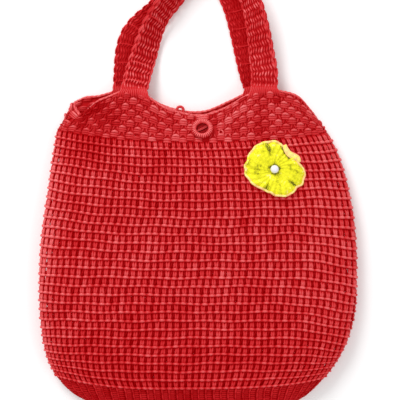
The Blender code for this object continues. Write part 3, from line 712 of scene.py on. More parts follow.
def layOnCloth(pattern, around, row, pitch, wide=1.0, out=0.0):
    lowest = stitch["lowest"]
    around = np.asarray(around)[:, None]
    row = lowest + np.asarray(row)[:, None] * (1 - lowest / cloth["rows"])
    x, y, z = pattern["places"].T
    wide, out = (np.asarray(value).reshape(-1, 1) for value in (wide, out))
    around = around + x[None] / stitch["pitch"] * wide * pitch
    row = row + y[None] / stitch["height"]
    # the lower columns are drawn together at the left edge
    side = np.clip(around, 0.0, 1.0)
    drawn = (1 - np.exp(-side / stitch["drawnWidth"])) * (1 - side)
    around = around - stitch["drawn"] * drawn * (1 - ease(row, *stitch["drawnRows"]))
    most, less = stitch["narrowing"]
    around = uprightAt(around, most - less * ease(row, *stitch["narrowingRows"]))
    # the rows wander a little and turn down towards the right side
    drift = sum(part * np.sin(waves * math.pi * around + turn * row) for part, waves, turn in stitch["drift"])
    even = stitch["evenRows"]
    drift = drift * ease(row, 0.0, even) * (1 - ease(row, cloth["rows"] - even, cloth["rows"]))
    share = np.clip(row / cloth["rows"], 0.0, 1.0)
    depth, place, width = stitch["turnDown"]
    drift -= depth * bell(around - place, width) * np.sin(math.pi * share ** 0.8)
    return clothPlace(around, row + drift, z[None] + out)


def meshSide(name, start):
    count = stitch["round"]
    rows, numbers = np.meshgrid(np.arange(cloth["rows"]), np.arange(count), indexing="ij")
    drift = np.cumsum(chance.uniform(-stitch["shift"], stitch["shift"], cloth["rows"]))[:, None]
    stray = chance.uniform(-stitch["wander"], stitch["wander"], rows.shape)
    around = (start + (numbers + 0.5 + drift + stray) / count).ravel()
    rows = rows.ravel()
    kind = chance.choice(len(stitches), size=len(rows), p=[share for pattern, share in stitches])
    tone = someTones(*stitch["tone"], len(rows))
    # painted light along the left edge and towards the right, painted shade near the base
    x, y = clothPoint(around, rows).T[:2]
    leftLight, leftEdge, leftWidth = stitch["leftLight"]
    rightLight, *rightPlaces = stitch["rightLight"]
    baseShade, *basePlaces = stitch["baseShade"]
    light = leftLight * bell(x - leftEdge, leftWidth) + rightLight * ease(x, *rightPlaces)
    tone += light - baseShade * ease(-y, *basePlaces)
    # and painted shade below the dent
    depth, dentX, dentWidth, dentY, dentHeight = stitch["dentShade"]
    tone -= depth * np.exp(-((x - dentX) / dentWidth) ** 2 - ((y - dentY) / dentHeight) ** 2) * (around < 1)
    wide = chance.uniform(*stitch["widths"], len(rows))
    out = chance.uniform(-stitch["uneven"], stitch["uneven"], len(rows))
    batches = []
    for number, (pattern, share) in enumerate(stitches):
        here = kind == number
        laid = layOnCloth(pattern, around[here], rows[here], 1 / count, wide[here], out[here])
        batches.append((pattern, laid, tone[here]))
    piece = layCopies(name, batches)
    finishPiece(piece, cordRed, "red_cord", "mesh_body")
    # the strand behind each hole, a little darker as painted shade
    laid = layOnCloth(strandBehind, around, rows, 1 / count)
    behind = layCopies(name + "Behind", [(strandBehind, laid, tone - 0.1)])
    finishPiece(behind, cordRed, "red_cord")
    return piece, behind


meshFront, frontBehind = meshSide("meshFront", 0.0)
meshBack, backBehind = meshSide("meshBack", 1.0)
print("mesh laid:", len(meshFront.data.polygons) + len(meshBack.data.polygons), "faces")

# yoke: rows of staggered bumps, three short cords in each, with crossed links and small holes between
yoke = {
    "columns": 38,            # half columns to each side
    "first": 4.2,             # first row of bumps above the seam
    "step": 6.1,
    "clearRim": 3.4,
    "clearCorner": 3.0,       # more of it near the left corner
    "cornerPlace": 0.07,
    "cornerWidth": 0.06,
    "lastReach": 1.4,         # for the small bumps that fill up the last row
    "lastDown": 1.6,
    "stray": (0.1, 0.6),      # across, as a share of a half column, and up
    "tone": (0.56, 0.12),
    "uneven": (-0.15, 0.25),
    "dentShade": 0.45,
    "dentDepth": 1.6,
    "clearButton": 11.8,
    "backing": 0.9,           # thickness of the dense cloth behind the bumps
    "pitch": 8.25,
    "seamRow": 0.6,           # small bumps that fill up the first row
    "dentWidth": 21.0,
    "inside": -1.9,
}

yokeAround = np.linspace(0.0, 2.0, 721)
yokeGrid = clothPoint(yokeAround[:, None], np.linspace(cloth["rows"], topRow, 25)[None])
yokeLength = np.linalg.norm(np.diff(yokeGrid, axis=1), axis=2).sum(axis=1)


def bandLength(around):
    return np.interp(np.mod(around, 2.0), yokeAround, yokeLength)


def yokeRow(around, distance):
    return cloth["rows"] + cloth["yokeRows"] * distance / bandLength(around)


def layOnYoke(pattern, around, distance, pitch, out=0.0, face=1):
    around, distance = np.asarray(around)[:, None], np.asarray(distance)[:, None]
    x, y, z = pattern["places"].T
    out = np.asarray(out).reshape(-1, 1)
    row = yokeRow(around, distance + y[None])
    return clothPlace(around + face * x[None] / yoke["pitch"] * pitch, row, face * z[None] + out)


def bumpCord(y, half, z, rise, radius):
    points = [(-half, y - rise, z * 0.1), (-half * 0.6, y - rise * 0.3, z * 0.75), (0.0, y, z),
              (half * 0.6, y - rise * 0.3, z * 0.75), (half, y - rise, z * 0.1)]
    return points, (radius * 0.7, radius * 0.95, radius * 1.05, radius * 0.95, radius * 0.7)


# painted shade by height: the top cord lightest, the lower ones darker
bump = cordPattern([
    bumpCord(-3.1, 4.6, 0.3, 0.3, 1.2),
    bumpCord(-0.8, 5.2, 0.6, 0.6, 1.3),
    bumpCord(1.9, 4.2, 1.8, 1.7, 1.5),
], ((-1.0, 1.2, 2.4, 3.2), (-0.3, -0.12, 0.0, 0.24)))
smallBump = cordPattern([bumpCord(-1.0, 4.4, 0.4, 0.2, 1.2), bumpCord(1.2, 4.2, 0.9, 0.6, 1.3)])
link = cordPattern([
    ([(-side * 3.4, 2.6, -0.3), (-side * 2.2, 5.4, 0.3), (-side * 1.2, 8.4, -0.2)], (0.9, 1.15, 0.9))
    for side in (1, -1)
])
buttonPlace = (2.6, 73.6)


def yokeBumps():
    step = 1 / yoke["columns"]
    places = []
    for column in range(2 * yoke["columns"]):
        around = (column + 0.5) * step
        length = bandLength(around)
        distance = yoke["first"] + (column % 2) * yoke["step"]
        if column % 2:
            places.append((around, yoke["seamRow"], 0))
        corner = math.exp(-(((around - yoke["cornerPlace"]) / yoke["cornerWidth"]) ** 2))
        clear = yoke["clearRim"] + yoke["clearCorner"] * corner
        while distance < length - clear:
            places.append((around, distance, 1))
            distance += 2 * yoke["step"]
        if distance < length + yoke["clearRim"] + yoke["lastReach"] - clear:
            places.append((around, distance - yoke["lastDown"], 0))
    places = np.array(places)
    centre = clothPoint(places[:, 0], yokeRow(places[:, 0], places[:, 1]))
    away = np.hypot(centre[:, 0] - buttonPlace[0], centre[:, 1] - buttonPlace[1])
    places = places[(away > yoke["clearButton"]) | (places[:, 0] > 1)]
    count = len(places)
    across, up = yoke["stray"]
    around = places[:, 0] + chance.uniform(-across, across, count) * step
    distance = places[:, 1] + chance.uniform(-up, up, count)
    tone = someTones(*yoke["tone"], count)
    # painted shade in the dent at the left
    dent = nearDent(clothPoint(around, yokeRow(around, distance)), yoke["dentWidth"]) * (around < 1)
    tone -= yoke["dentShade"] * dent
    out = chance.uniform(*yoke["uneven"], count) - yoke["dentDepth"] * dent
    large = places[:, 2] > 0
    batches = []
    # small bumps, links and the inner bumps a little darker: painted shade
    for pattern, here, deeper in ((bump, large, 0.0), (smallBump, ~large, 0.05)):
        laid = layOnYoke(pattern, around[here], distance[here], step, out[here])
        batches.append((pattern, laid, tone[here] - deeper))
    batches += [
        (link, layOnYoke(link, around, distance, step), tone - 0.15),
        (smallBump, layOnYoke(smallBump, around, distance, step, yoke["inside"], -1), tone - 0.05),
    ]
    return finishPiece(layCopies("yokeBumps", batches), cordYoke, "red_cord")


def yokeWall(across, along):
    row = cloth["rows"] - 0.1 + (cloth["yokeRows"] + 0.08) * along
    return clothPlace(2 * across, row, np.full(len(across), -0.5))


# the backing shows only between the bumps: a low tone as painted shade
yokeBacking = addSheet("yokeBacking", 240, 16, yokeWall, yoke["backing"], closed=True, tone=0.2)
finishPiece(yokeBacking, cordRed, "red_cord", "yoke")
bumps = yokeBumps()

# edging round the mouth: three strands of slanted links over the rolled rim
edging = {
    "links": 112,
    "roll": 0.95,             # from the middle of the roll to a strand
    "strands": (75.0, 0.0, -75.0),
    "reach": 0.4,
    "pitch": 7.0,             # of one link as it is modelled
}
edgeLink = cordPattern([
    ([(-3.9, -0.5, 0.0), (-1.9, -0.2, 0.2), (0.0, 0.1, 0.3), (1.9, 0.3, 0.2), (3.9, 0.6, 0.0)],
     (1.15, 1.35, 1.4, 1.35, 1.15)),
])


def rimFrame(around):
    rimPlace = clothPoint(around, topRow)
    normal = clothNormal(around, topRow)
    onward = rimPlace - clothPoint(around, topRow - edging["reach"])
    onward -= normal * np.sum(onward * normal, axis=-1, keepdims=True)
    onward /= np.linalg.norm(onward, axis=-1, keepdims=True)
    return rimPlace - normal * cloth["wall"] / 2, normal, onward


def rimEdge():
    around = np.linspace(0.0, 2.0, 2001)
    along = distances(rimFrame(around)[0])
    pitch = along[-1] / edging["links"]
    x, y, z = edgeLink["places"].T
    batches = []
    for number, degrees in enumerate(edging["strands"]):
        at = (np.arange(edging["links"]) + 0.5 * (number % 2)) * pitch
        here = np.mod(at[:, None] + x[None] * pitch / edging["pitch"], along[-1])
        centre, normal, onward = rimFrame(np.interp(here, along, around))
        turn = math.radians(degrees) + y[None, :, None] / (edging["roll"] + 0.5)
        lift = edging["roll"] + z[None, :, None]
        laid = centre + (np.sin(turn) * normal + np.cos(turn) * onward) * lift
        # a high tone: painted light along the rolled rim
        batches.append((edgeLink, laid, someTones(0.9, 0.06, len(at), 1.2)))
    return finishPiece(layCopies("rimEdge", batches), cordRed, "red_cord", "yoke")


rimLinks = rimEdge()
print("yoke and its edging laid")

# base: upright cords over a dense cup, thin wraps across from each to the next, all in painted shade
base = {
    "ribs": 36,               # to each side
    "ribPitch": 7.4,
    "ribLength": 6.4,
    "rows": 6,
    "wall": 1.4,
}
# painted shade by height: the tops of the cords lightest, what lies lower darker
rib = cordPattern([
    ([(-3.1, -0.2, 0.5), (-3.1, 1.6, 1.0), (-3.1, 3.2, 1.1), (-3.1, 4.8, 1.0), (-3.1, 6.6, 0.5)],
     (0.8, 0.95, 1.0, 0.95, 0.8)),
    *[([(-3.1, y, -0.2), (-1.3, y + 0.2, 0.7), (1.3, y + 0.2, 0.7), (3.4, y, -0.2)], (0.8, 1.0, 1.0, 0.8))
      for y in (0.6, 2.8, 5.0)],
], ((-1.2, 0.4, 1.6, 2.1), (-0.4, -0.2, 0.0, 0.16)))


def baseRibs():
    depth = cloth["baseRows"] + stitch["lowest"]
    number, row = np.meshgrid(np.arange(2 * base["ribs"]), np.arange(base["rows"]), indexing="ij")
    number, row = number.ravel(), row.ravel()
    around = (number + 0.5) / base["ribs"] + chance.uniform(-0.002, 0.002, 2 * base["ribs"])[number]
    x, y, z = rib["places"].T
    share = (row[:, None] + y[None] / base["ribLength"]) / base["rows"]
    narrowing = np.interp(share, (0.0, 0.15, 0.3, 0.5, 0.65), (1.0, 1.02, 1.08, 1.2, 1.3))
    at = uprightAt(around[:, None] + x[None] / base["ribPitch"] / base["ribs"], narrowing)
    out = z[None] * np.interp(share, (0.0, 0.75, 1.0), (1.0, 0.9, 0.35)) - 0.3
    laid = clothPlace(at, stitch["lowest"] - depth * np.clip(share, 0.005, 1.0), out)
    piece = layCopies("baseRibs", [(rib, laid, someTones(0.14, 0.07, len(around)))])
    return finishPiece(piece, cordShaded, "red_cord")


def baseWall(across, along):
    row = stitch["lowest"] - (cloth["baseRows"] + stitch["lowest"]) * along
    return clothPlace(2 - 2 * across, row, np.full(len(across), -0.7))


def makeBase():
    cup = addSheet("baseCup", 168, 14, baseWall, 0.0, closed=True, tone=0.1)
    # join the open bottom: each point of the front meets the one opposite on the back
    bpy.ops.object.mode_set(mode="EDIT")
    bpy.ops.mesh.select_mode(type="EDGE")
    bpy.ops.mesh.select_all(action="DESELECT")
    endEdit()
    links = {}
    for polygon in cup.data.polygons:
        for key in polygon.edge_keys:
            links[key] = links.get(key, 0) + 1
    points = cup.data.vertices
    middleY = sum(vertex.co.y for vertex in points) / len(points)
    for edge in cup.data.edges:
        first, second = edge.vertices
        edge.select = links[edge.key] == 1 and points[first].co.y < middleY and points[second].co.y < middleY
    bpy.ops.object.mode_set(mode="EDIT")
    bpy.ops.mesh.fill_grid(span=84)
    endEdit()
    thicken(cup, base["wall"])
    bpy.ops.object.shade_smooth()
    return finishPiece(cup, cordShaded, "red_cord", "base")


baseCup = makeBase()
ribs = baseRibs()
print("base laid")

# straps: a dense band with lengthwise cords over both faces, a chain down one edge, loops down the other
strap = {
    "width": 29.0,
    "thick": 5.0,
    "row": 9.8,
    "stroke": 6.5,            # one of the short cords that show on the faces
    "cords": 8,
    "cordPitch": 3.05,
    "frontFeet": (-70.3, 68.3),
    "frontFeetHeight": 17.4,
    "backFeet": (-80.5, 62.4),
    "rimRoll": 1.9,
    "seam": 0.3,
    "lean": (0.7, 1.3),       # of the short cords
    "stray": 0.12,
    "edgeIn": 1.9,            # of the chain and the loops
    "bandIn": 1.6,
    "bandHalf": 1.15,         # half the thickness of the band
    "besideDepth": 0.75,      # shade on the back strap beside the front one
    "besideWidth": 9.0,
}

# x, y, height of the lowest edge, roll in degrees with the outer edge up
frontPath = (
    (-65.5, 139.6, 8.6, 8.0),
    (-60.4, 156.3, 2.6, 22.0),
    (-54.0, 176.0, 2.0, 35.0),
    (-45.3, 195.1, 4.4, 45.0),
    (-32.3, 213.4, 6.2, 50.0),
    (-21.5, 230.0, 6.6, 50.0),
    (-6.5, 246.6, 6.6, 50.0),
    (14.0, 254.6, 6.6, 50.0),
    (32.9, 248.6, 6.6, 50.0),
    (45.5, 231.6, 6.6, 50.0),
    (54.8, 210.7, 6.4, 49.0),
    (61.4, 185.0, 6.2, 40.0),
    (66.7, 153.0, 6.4, 22.0),
    (69.2, 136.0, 11.0, 8.0),
)
# the back strap lies flat on the table: x, y
backPath = (
    (-79.4, 141.4),
    (-77.6, 162.1),
    (-72.4, 178.4),
    (-62.8, 190.4),
    (-52.2, 199.2),
    (-42.4, 208.2),
    (-31.6, 221.5),
    (-16.3, 238.6),
    (3.3, 247.6),
    (20.7, 242.2),
    (31.6, 228.0),
    (39.2, 211.1),
    (46.4, 185.0),
    (52.4, 157.8),
    (57.4, 137.0),
)


# where a strap's foot meets the rim, as in the tables above
def footPlace(x, start, height):
    line = rimPoint(np.linspace(start + 0.01, start + 0.99, 400))
    under = line[np.abs(line[:, 0] - x) < strap["width"] / 2]
    return x, under[:, 1].max() + strap["rimRoll"] + strap["seam"], height, 0.0


# centres and cross directions along a strap, one for each half row, as in the solids
def strapFrames(feet, start, height, path):
    first, last = (footPlace(x, start, height) for x in feet)
    path = np.array([first, *path, last])
    along = distances(path[:, :2])
    at = np.linspace(0, along[-1], 2 * round(along[-1] / strap["row"]) + 1)
    x, y, low, roll = (curveThrough(along, path[:, k], at) for k in range(4))
    line = np.stack([x, y], axis=1)
    roll = np.radians(roll)
    ahead = np.gradient(line, axis=0)
    ahead /= np.linalg.norm(ahead, axis=1, keepdims=True)
    inward = np.stack([ahead[:, 1], -ahead[:, 0], np.zeros(len(at))], axis=1)
    inward[0], inward[-1] = (1.0, 0.0, 0.0), (-1.0, 0.0, 0.0)
    upright = np.array([0.0, 0.0, 1.0])
    side = inward * np.cos(roll)[:, None] - upright * np.sin(roll)[:, None]
    face = upright * np.cos(roll)[:, None] + inward * np.sin(roll)[:, None]
    rise = strap["width"] / 2 * np.sin(roll) + strap["thick"] / 2 * np.cos(roll)
    return np.column_stack([line, low + rise]), side, face


def strapPlace(frames, row, across, up):
    centre, side, face = frames
    numbers = np.arange(len(centre))
    at = np.clip(2 * row, 0, len(centre) - 1)

    def between(values):
        return np.stack([np.interp(at, numbers, values[:, k]) for k in range(3)], axis=-1)

    return between(centre) + between(side) * across[..., None] + between(face) * up[..., None]


# painted shade by height: the middle of each short cord lightest, its ends darker
strandCord = cordPattern(
    [([(-0.85, -0.2, 0.15), (-0.5, 1.7, 0.6), (0.1, 3.3, 0.9), (0.6, 5.0, 0.6), (0.85, 6.8, 0.15)],
      (0.7, 0.9, 1.0, 0.9, 0.7))],
    ((-1.0, 0.4, 1.3, 1.9), (-0.62, -0.38, 0.0, 0.36)))
rowCord = cordPattern([
    ([(-12.4, -1.0, -0.4), (-8.0, 0.3, 0.55), (-3.0, 0.9, 0.75), (3.0, 0.8, 0.75), (8.0, 0.0, 0.5),
      (12.4, -1.5, -0.5)], (0.6, 0.8, 0.85, 0.85, 0.8, 0.6)),
])
chainCord = cordPattern([
    ([(-1.2, -0.8, -0.4), (-1.4, 2.6, 0.4), (-0.7, 6.2, 0.6), (0.4, 9.6, 0.0)], (0.8, 1.1, 1.1, 0.8)),
    ([(1.1, -0.8, -0.4), (1.1, 2.8, 0.4), (0.4, 6.2, 0.5), (-0.5, 9.4, -0.2)], (0.7, 1.0, 1.0, 0.7)),
])
edgeLoop = cordPattern([
    ([(0.1, -0.1, -0.2), (0.8, 1.8, 0.1), (1.1, 4.9, 0.2), (0.8, 8.0, 0.1), (0.1, 9.9, -0.2)],
     (0.9, 1.05, 1.1, 1.05, 0.9)),
])


def layOnStrap(pattern, frames, row, across, up, lean=1.0, flip=1.0, relief=1.0):
    x, y, z = pattern["places"].T
    row = np.asarray(row, float)[:, None] + y[None] / strap["row"]
    lean = np.asarray(lean, float).reshape(-1, 1)
    height = flip * relief * (up + z[None]) + np.zeros(row.shape)
    return strapPlace(frames, row, across + x[None] * lean, height)


# painted shade: how much darker a cord is in the hollow beside the strap in front
def besideShade(laid, line):
    away = nearest(laid.mean(axis=1), line)
    return strap["besideDepth"] * bell(np.maximum(away - strap["width"] / 3, 0.0), strap["besideWidth"])


def makeStrap(name, frames, node, tone, material, relief, crossed, inFront=None):
    rows = (len(frames[0]) - 1) // 2
    batches = []
    half = (strap["cords"] - 1) / 2
    strokes = round(rows * strap["row"] / strap["stroke"])
    for cord in range(strap["cords"]):
        across = (cord - half) * strap["cordPitch"]
        lean = np.where(np.arange(strokes) % 2, 1.0, -1.0) * chance.uniform(*strap["lean"], strokes)
        shade = someTones(tone, 0.13, strokes)
        stray = chance.uniform(-strap["stray"], strap["stray"], strokes)
        places = (np.arange(strokes) + stray) * rows / strokes
        for flip in (1.0, -1.0):
            laid = layOnStrap(strandCord, frames, places, across, 1.1, lean, flip, relief)
            hidden = 0.0 if inFront is None else besideShade(laid, inFront)
            batches.append((strandCord, laid, shade - hidden))
    # cords that cross the strap at some rows, a little lighter as painted light on their ridge
    shade = someTones(tone + 0.1, 0.06, len(crossed))
    for flip in (1.0, -1.0):
        batches.append((rowCord, layOnStrap(rowCord, frames, crossed, 0.0, 1.35, 1.0, flip, relief), shade))
    # the chain and the loops along the edges are lighter: painted light on the raised edges
    edge = strap["width"] / 2 - strap["edgeIn"]
    shade = someTones(tone + 0.16, 0.06, rows)
    for side, pattern, lift in ((-1, chainCord, 0.75), (1, edgeLoop, 0.55)):
        for flip in (1.0, -1.0):
            laid = layOnStrap(pattern, frames, np.arange(rows), side * edge, lift, side, flip)
            batches.append((pattern, laid, shade))
    cords = finishPiece(layCopies(name + "Cords", batches), material, "red_cord")

    def bandPlace(across, along):
        turn = math.tau * across
        reach = strap["width"] / 2 - strap["bandIn"]
        wide = reach * np.sign(np.cos(turn)) * np.abs(np.cos(turn)) ** 0.6
        return strapPlace(frames, rows * along, wide, strap["bandHalf"] * np.sin(turn))

    # the band shows only between the cords: a low tone and the cord in shade, as painted shade
    band = addSheet(name + "Band", 28, 2 * rows, bandPlace, 0.0, closed=True, tone=0.1)
    startEdit()
    bpy.ops.mesh.region_to_loop()
    bpy.ops.mesh.edge_face_add()
    bpy.ops.mesh.select_all(action="SELECT")
    bpy.ops.mesh.normals_make_consistent(inside=False)
    endEdit()
    finishPiece(band, cordShaded, "red_cord", node)


frontFrames = strapFrames(strap["frontFeet"], 0.0, strap["frontFeetHeight"], frontPath)
makeStrap("strapFront", frontFrames, "handle_front", 0.46, cordRed, 1.0, (1, 3, 8))
# the back strap in painted shade: a lower tone, the cord in shade, and darker beside the front strap
backFrames = strapFrames(strap["backFeet"], 1.0, 0.0, [(*place, 0.0, 0.0) for place in backPath])
makeStrap("strapBack", backFrames, "handle_back", 0.3, cordShaded, 0.7, range(1, 30, 2), frontFrames[0])

# what is sewn to the front sits in a frame of its own: Z along the cloth's normal
frontAround, frontRow = np.meshgrid(np.linspace(0.02, 0.98, 420), np.linspace(0.0, topRow, 480))
frontPoints = clothPoint(frontAround, frontRow).reshape(-1, 3)
frontNormals = clothNormal(frontAround, frontRow).reshape(-1, 3)


def frontHeight(x, y):
    near = np.argmin((frontPoints[:, 0] - x) ** 2 + (frontPoints[:, 1] - y) ** 2)
    point, normal = frontPoints[near], frontNormals[near]
    return point[2] - (normal[0] * (x - point[0]) + normal[1] * (y - point[1])) / normal[2], normal


def seatMatrix(place, lift, spread):
    height, normal = frontHeight(*place)
    normal = Vector(normal)
    highest = 0.0
    for turn in np.linspace(0.0, math.tau, 12, endpoint=False):
        x, y = place[0] + spread * math.cos(turn), place[1] + spread * math.sin(turn)
        above = Vector((x, y, frontHeight(x, y)[0])) - Vector((*place, height))
        highest = max(highest, above.dot(normal))
    origin = Vector((*place, height)) + normal * (highest + lift)
    tilt = normal.to_track_quat("Z", "Y").to_matrix().to_4x4()
    return Matrix.Translation(origin) @ tilt


def seated(matrix, points):
    turned = np.asarray(points) @ np.array(matrix.to_3x3()).T
    return turned + np.array(matrix.translation)


def sewOn(name, seat, cords, tone, material, *nodes):
    pattern = cordPattern(cords)
    piece = layOne(name, pattern, seated(seat, pattern["places"]), tone)
    return finishPiece(piece, material, "red_cord", *nodes)


# stitches that sew the straps' feet over the rim
sewing = {
    "count": 15,
    "half": 13.0,
    "splay": 0.3,
    "radius": 1.1,
    "shares": np.array((0.7, 1.0, 1.0, 0.8)),
    "heights": np.array((1.6, 2.3)),    # over the middle of the strap
    "reach": 5.0,             # how far they pass down the yoke
}


def strapFeet():
    cords = []
    for frames, start in ((frontFrames, 0.0), (backFrames, 1.0)):
        around = np.linspace(start + 0.01, start + 0.99, 800)
        line, normal, onward = rimFrame(around)
        last = (len(frames[0]) - 1) / 2
        for row, onto in ((0.0, 0.45), (last, last - 0.45)):
            rows = np.array([onto, row])
            for across in np.linspace(-sewing["half"], sewing["half"], sewing["count"]):
                onStrap, end = strapPlace(frames, rows, np.full(2, across), sewing["heights"])
                splay = (end[0] - frames[0][round(2 * row), 0]) * sewing["splay"]
                near = np.argmin(np.abs(line[:, 0] - end[0] - splay * 0.6) - 0.02 * line[:, 1])
                over = line[near] + (0.0, 0.0, edging["roll"] + 2.0)
                x, y = end[0] + splay, line[near, 1] - sewing["reach"]
                under = frontHeight(x, y)[0] + 0.6 if start == 0.0 else cloth["wall"] + 0.7
                cords.append(([onStrap, end, over, (x, y, under)], sewing["radius"] * sewing["shares"]))
    pattern = cordPattern(cords, evenShade)
    finishPiece(layOne("strapFeet", pattern, pattern["places"], 0.52), cordRed, "red_cord")


strapFeet()

# button: a ring wrapped in cord, a dished middle of coiled cord and a thread bar across it, the middle and
# bar darkened as painted shade in the dish
button = {
    "ring": 8.9,
    "tube": 2.45,
    "ringHeight": 4.6,
    "wraps": 30,
    "wrapSize": 0.86,         # share of the tube's radius
    "wrapSlant": 0.10,
    "wrapSpread": 1.35,
    "wrapCord": 0.62,
    "disc": 6.6,
    "discHeight": 1.6,
    "bar": 0.7,
}


def coil(turns, start, end, height, radius, steps):
    share = np.linspace(0.0, 1.0, steps)
    angle = math.tau * turns * share
    reach = start + (end - start) * share
    points = np.stack([reach * np.cos(angle), reach * np.sin(angle), height + 0.25 * share * share], axis=1)
    return points, radius


def makeButton():
    seat = seatMatrix(buttonPlace, strap["seam"], 9.2)
    tube = button["tube"]
    size, slant = button["wrapSize"], button["wrapSlant"]
    line = [(math.cos(turn) * tube * size, slant * math.sin(turn) * tube, math.sin(turn) * tube * size)
            for turn in np.linspace(0.0, math.tau, 11)]
    wrap = cordPattern([(line, button["wrapCord"])])
    turn = math.tau * (np.arange(button["wraps"]) + 0.5) / button["wraps"]
    x, y, z = wrap["places"].T
    reach = button["ring"] + x[None]
    angle = turn[:, None] + (y[None] * button["wrapSpread"]) / reach
    height = button["ringHeight"] + z[None] + np.zeros(angle.shape)
    laid = np.stack([reach * np.cos(angle), reach * np.sin(angle), height], axis=-1)
    tones = someTones(0.72, 0.08, len(turn))
    finishPiece(layCopies("buttonRing", [(wrap, seated(seat, laid), tones)]), cordRed, "red_cord", "button")
    layers = [coil(3, 0.9, button["disc"] - 0.3, button["discHeight"], 0.95, 60),
              coil(2, button["disc"], 9.4, 0.6, 1.2, 50), coil(1, 9.2, 9.2, 2.0, 1.2, 26)]
    bars = [([(-5.9, -2.2, 3.2), (0.0, 0.3, 3.4), (5.7, 2.6, 3.3)], button["bar"]),
            ([(-5.5, -3.3, 3.0), (0.3, -0.9, 3.3), (5.9, 1.4, 3.1)], button["bar"])]
    sewOn("buttonMiddle", seat, layers, 0.4, cordInHollowShade)
    sewOn("buttonBars", seat, bars, 0.7, cordInHollowShade)


# the cords between the button and the rim
tab = {
    "middle": 87.8,
    "places": (86.6, 88.9, 91.2),
    "halves": (7.0, 6.58, 5.6),
    "radii": 1.1 * np.array((0.8, 0.95, 1.0, 0.95, 0.8)),
}


def makeTab():
    cords = []
    for place, wide in zip(tab["places"], tab["halves"]):
        rise = place - tab["middle"]
        cords.append(([(-wide, rise - 0.3, 0.3), (-wide * 0.5, rise, 1.1), (0.0, rise + 0.1, 1.2),
                       (wide * 0.5, rise, 1.1), (wide, rise - 0.3, 0.3)], tab["radii"]))
    seat = seatMatrix((buttonPlace[0], tab["middle"]), strap["seam"], tab["halves"][0])
    sewOn("buttonTab", seat, cords, 0.85, cordRed, "button_tab")


# small knot of cord beside the button
knot = {
    "place": (22.4, 70.6),
    "seam": 0.6,
    "spread": 2.5,
    "cord": 0.75,
}


def makeKnot():
    cord = knot["cord"]
    ring = [(2.3 * math.cos(turn), 2.9 * math.sin(turn), 1.3 + 0.3 * math.sin(2 * turn))
            for turn in np.linspace(-1.1, 4.6, 14)]
    tail = [(-0.6, -2.6, 1.0), (0.9, -4.0, 0.9), (2.2, -5.4, 0.1)]
    seat = seatMatrix(knot["place"], knot["seam"], knot["spread"])
    sewOn("knot", seat, [(ring, cord), (tail, (cord, 0.7, 0.6))], 0.75, cordRed)


makeButton()
makeTab()
makeKnot()
print("button, its cords and the knot made")


# flower: five broad ruffled petals that overlap, a pale trim round each, a curled piece at the upper right
petal = {
    "gaps": (58.0, 105.0, 183.0, 247.0, 322.0, 418.0),
    "lap": 6.0,               # degrees by which a petal passes into each gap
    "thick": 1.2,
    "trim": 1.2,
    "across": 60,
    "along": 30,
    "trimPoints": 46,
    "dome": 6.0,
    "hollow": 2.6,            # depth of the middle, round the pearl
    "hollowWidth": 9.6,
    "inner": 3.4,             # where the petals start, from the middle
    "ruffle": 0.9,
    "wave": 1.0,
    "rowHeight": 0.5,
    "rowWidth": 3.4,
    "ribHeight": 0.45,
    "lowest": 1.5,
    "cup": 1.4,
    "dip": 3.6,               # towards the neighbouring petals
    "lifts": (0.0, 0.5, 0.1, 0.6, 0.2),
    # the outline: degrees, distance from the middle
    "edge": ((2, 32.2), (13, 27.4), (25, 26.6), (45, 24.8), (57, 26.2), (66, 27.4), (70, 26.6), (74, 28.5),
             (82, 30.4), (98, 31.0), (114, 31.8), (129, 32.0), (154, 31.5), (164, 30.6), (173, 32.2),
             (183, 32.1), (193, 31.5), (205, 29.4), (220, 27.9), (232, 25.6), (245, 25.6), (261, 26.2),
             (275, 28.9), (287, 30.5), (301, 32.2), (314, 31.8), (322, 32.0), (332, 34.6), (350, 34.2)),
    # painted shade in the creases: degrees, depth, width in degrees, where they start
    "creases": ((58.0, 0.3, 6.0, 12.0), (105.0, 1.0, 6.5, 12.0), (183.0, 0.55, 5.0, 22.0),
                (247.0, 1.15, 7.0, 13.0), (322.0, 0.85, 4.0, 14.0)),
}


# x, y, height and half width along the curled piece
curl = {
    "line": ((88.2, 57.4, 7.6, 1.5), (89.9, 52.6, 9.0, 2.0), (93.0, 48.2, 9.6, 2.4), (97.6, 45.6, 9.2, 2.7),
             (102.0, 43.4, 7.8, 2.2), (103.6, 39.4, 6.2, 1.2)),
    # the painted shadow beside it, x and y
    "shadowLine": ((86.2, 57.0), (86.8, 53.4), (88.2, 50.0), (90.2, 46.8), (92.8, 44.0)),
}


def flowerReach(degrees):
    edge = np.array(petal["edge"])
    return np.interp(np.mod(degrees, 360.0), edge[:, 0], edge[:, 1], period=360.0)


flowerSeat, frontSlope = frontHeight(*flower["place"])


def flowerGround(x, y):
    x, y = x - flower["place"][0], y - flower["place"][1]
    fromMiddle = (frontSlope[0] * x + frontSlope[1] * y) / frontSlope[2]
    return flowerSeat - fromMiddle - flower["bend"] * (x ** 2 + y ** 2) + flower["seat"]


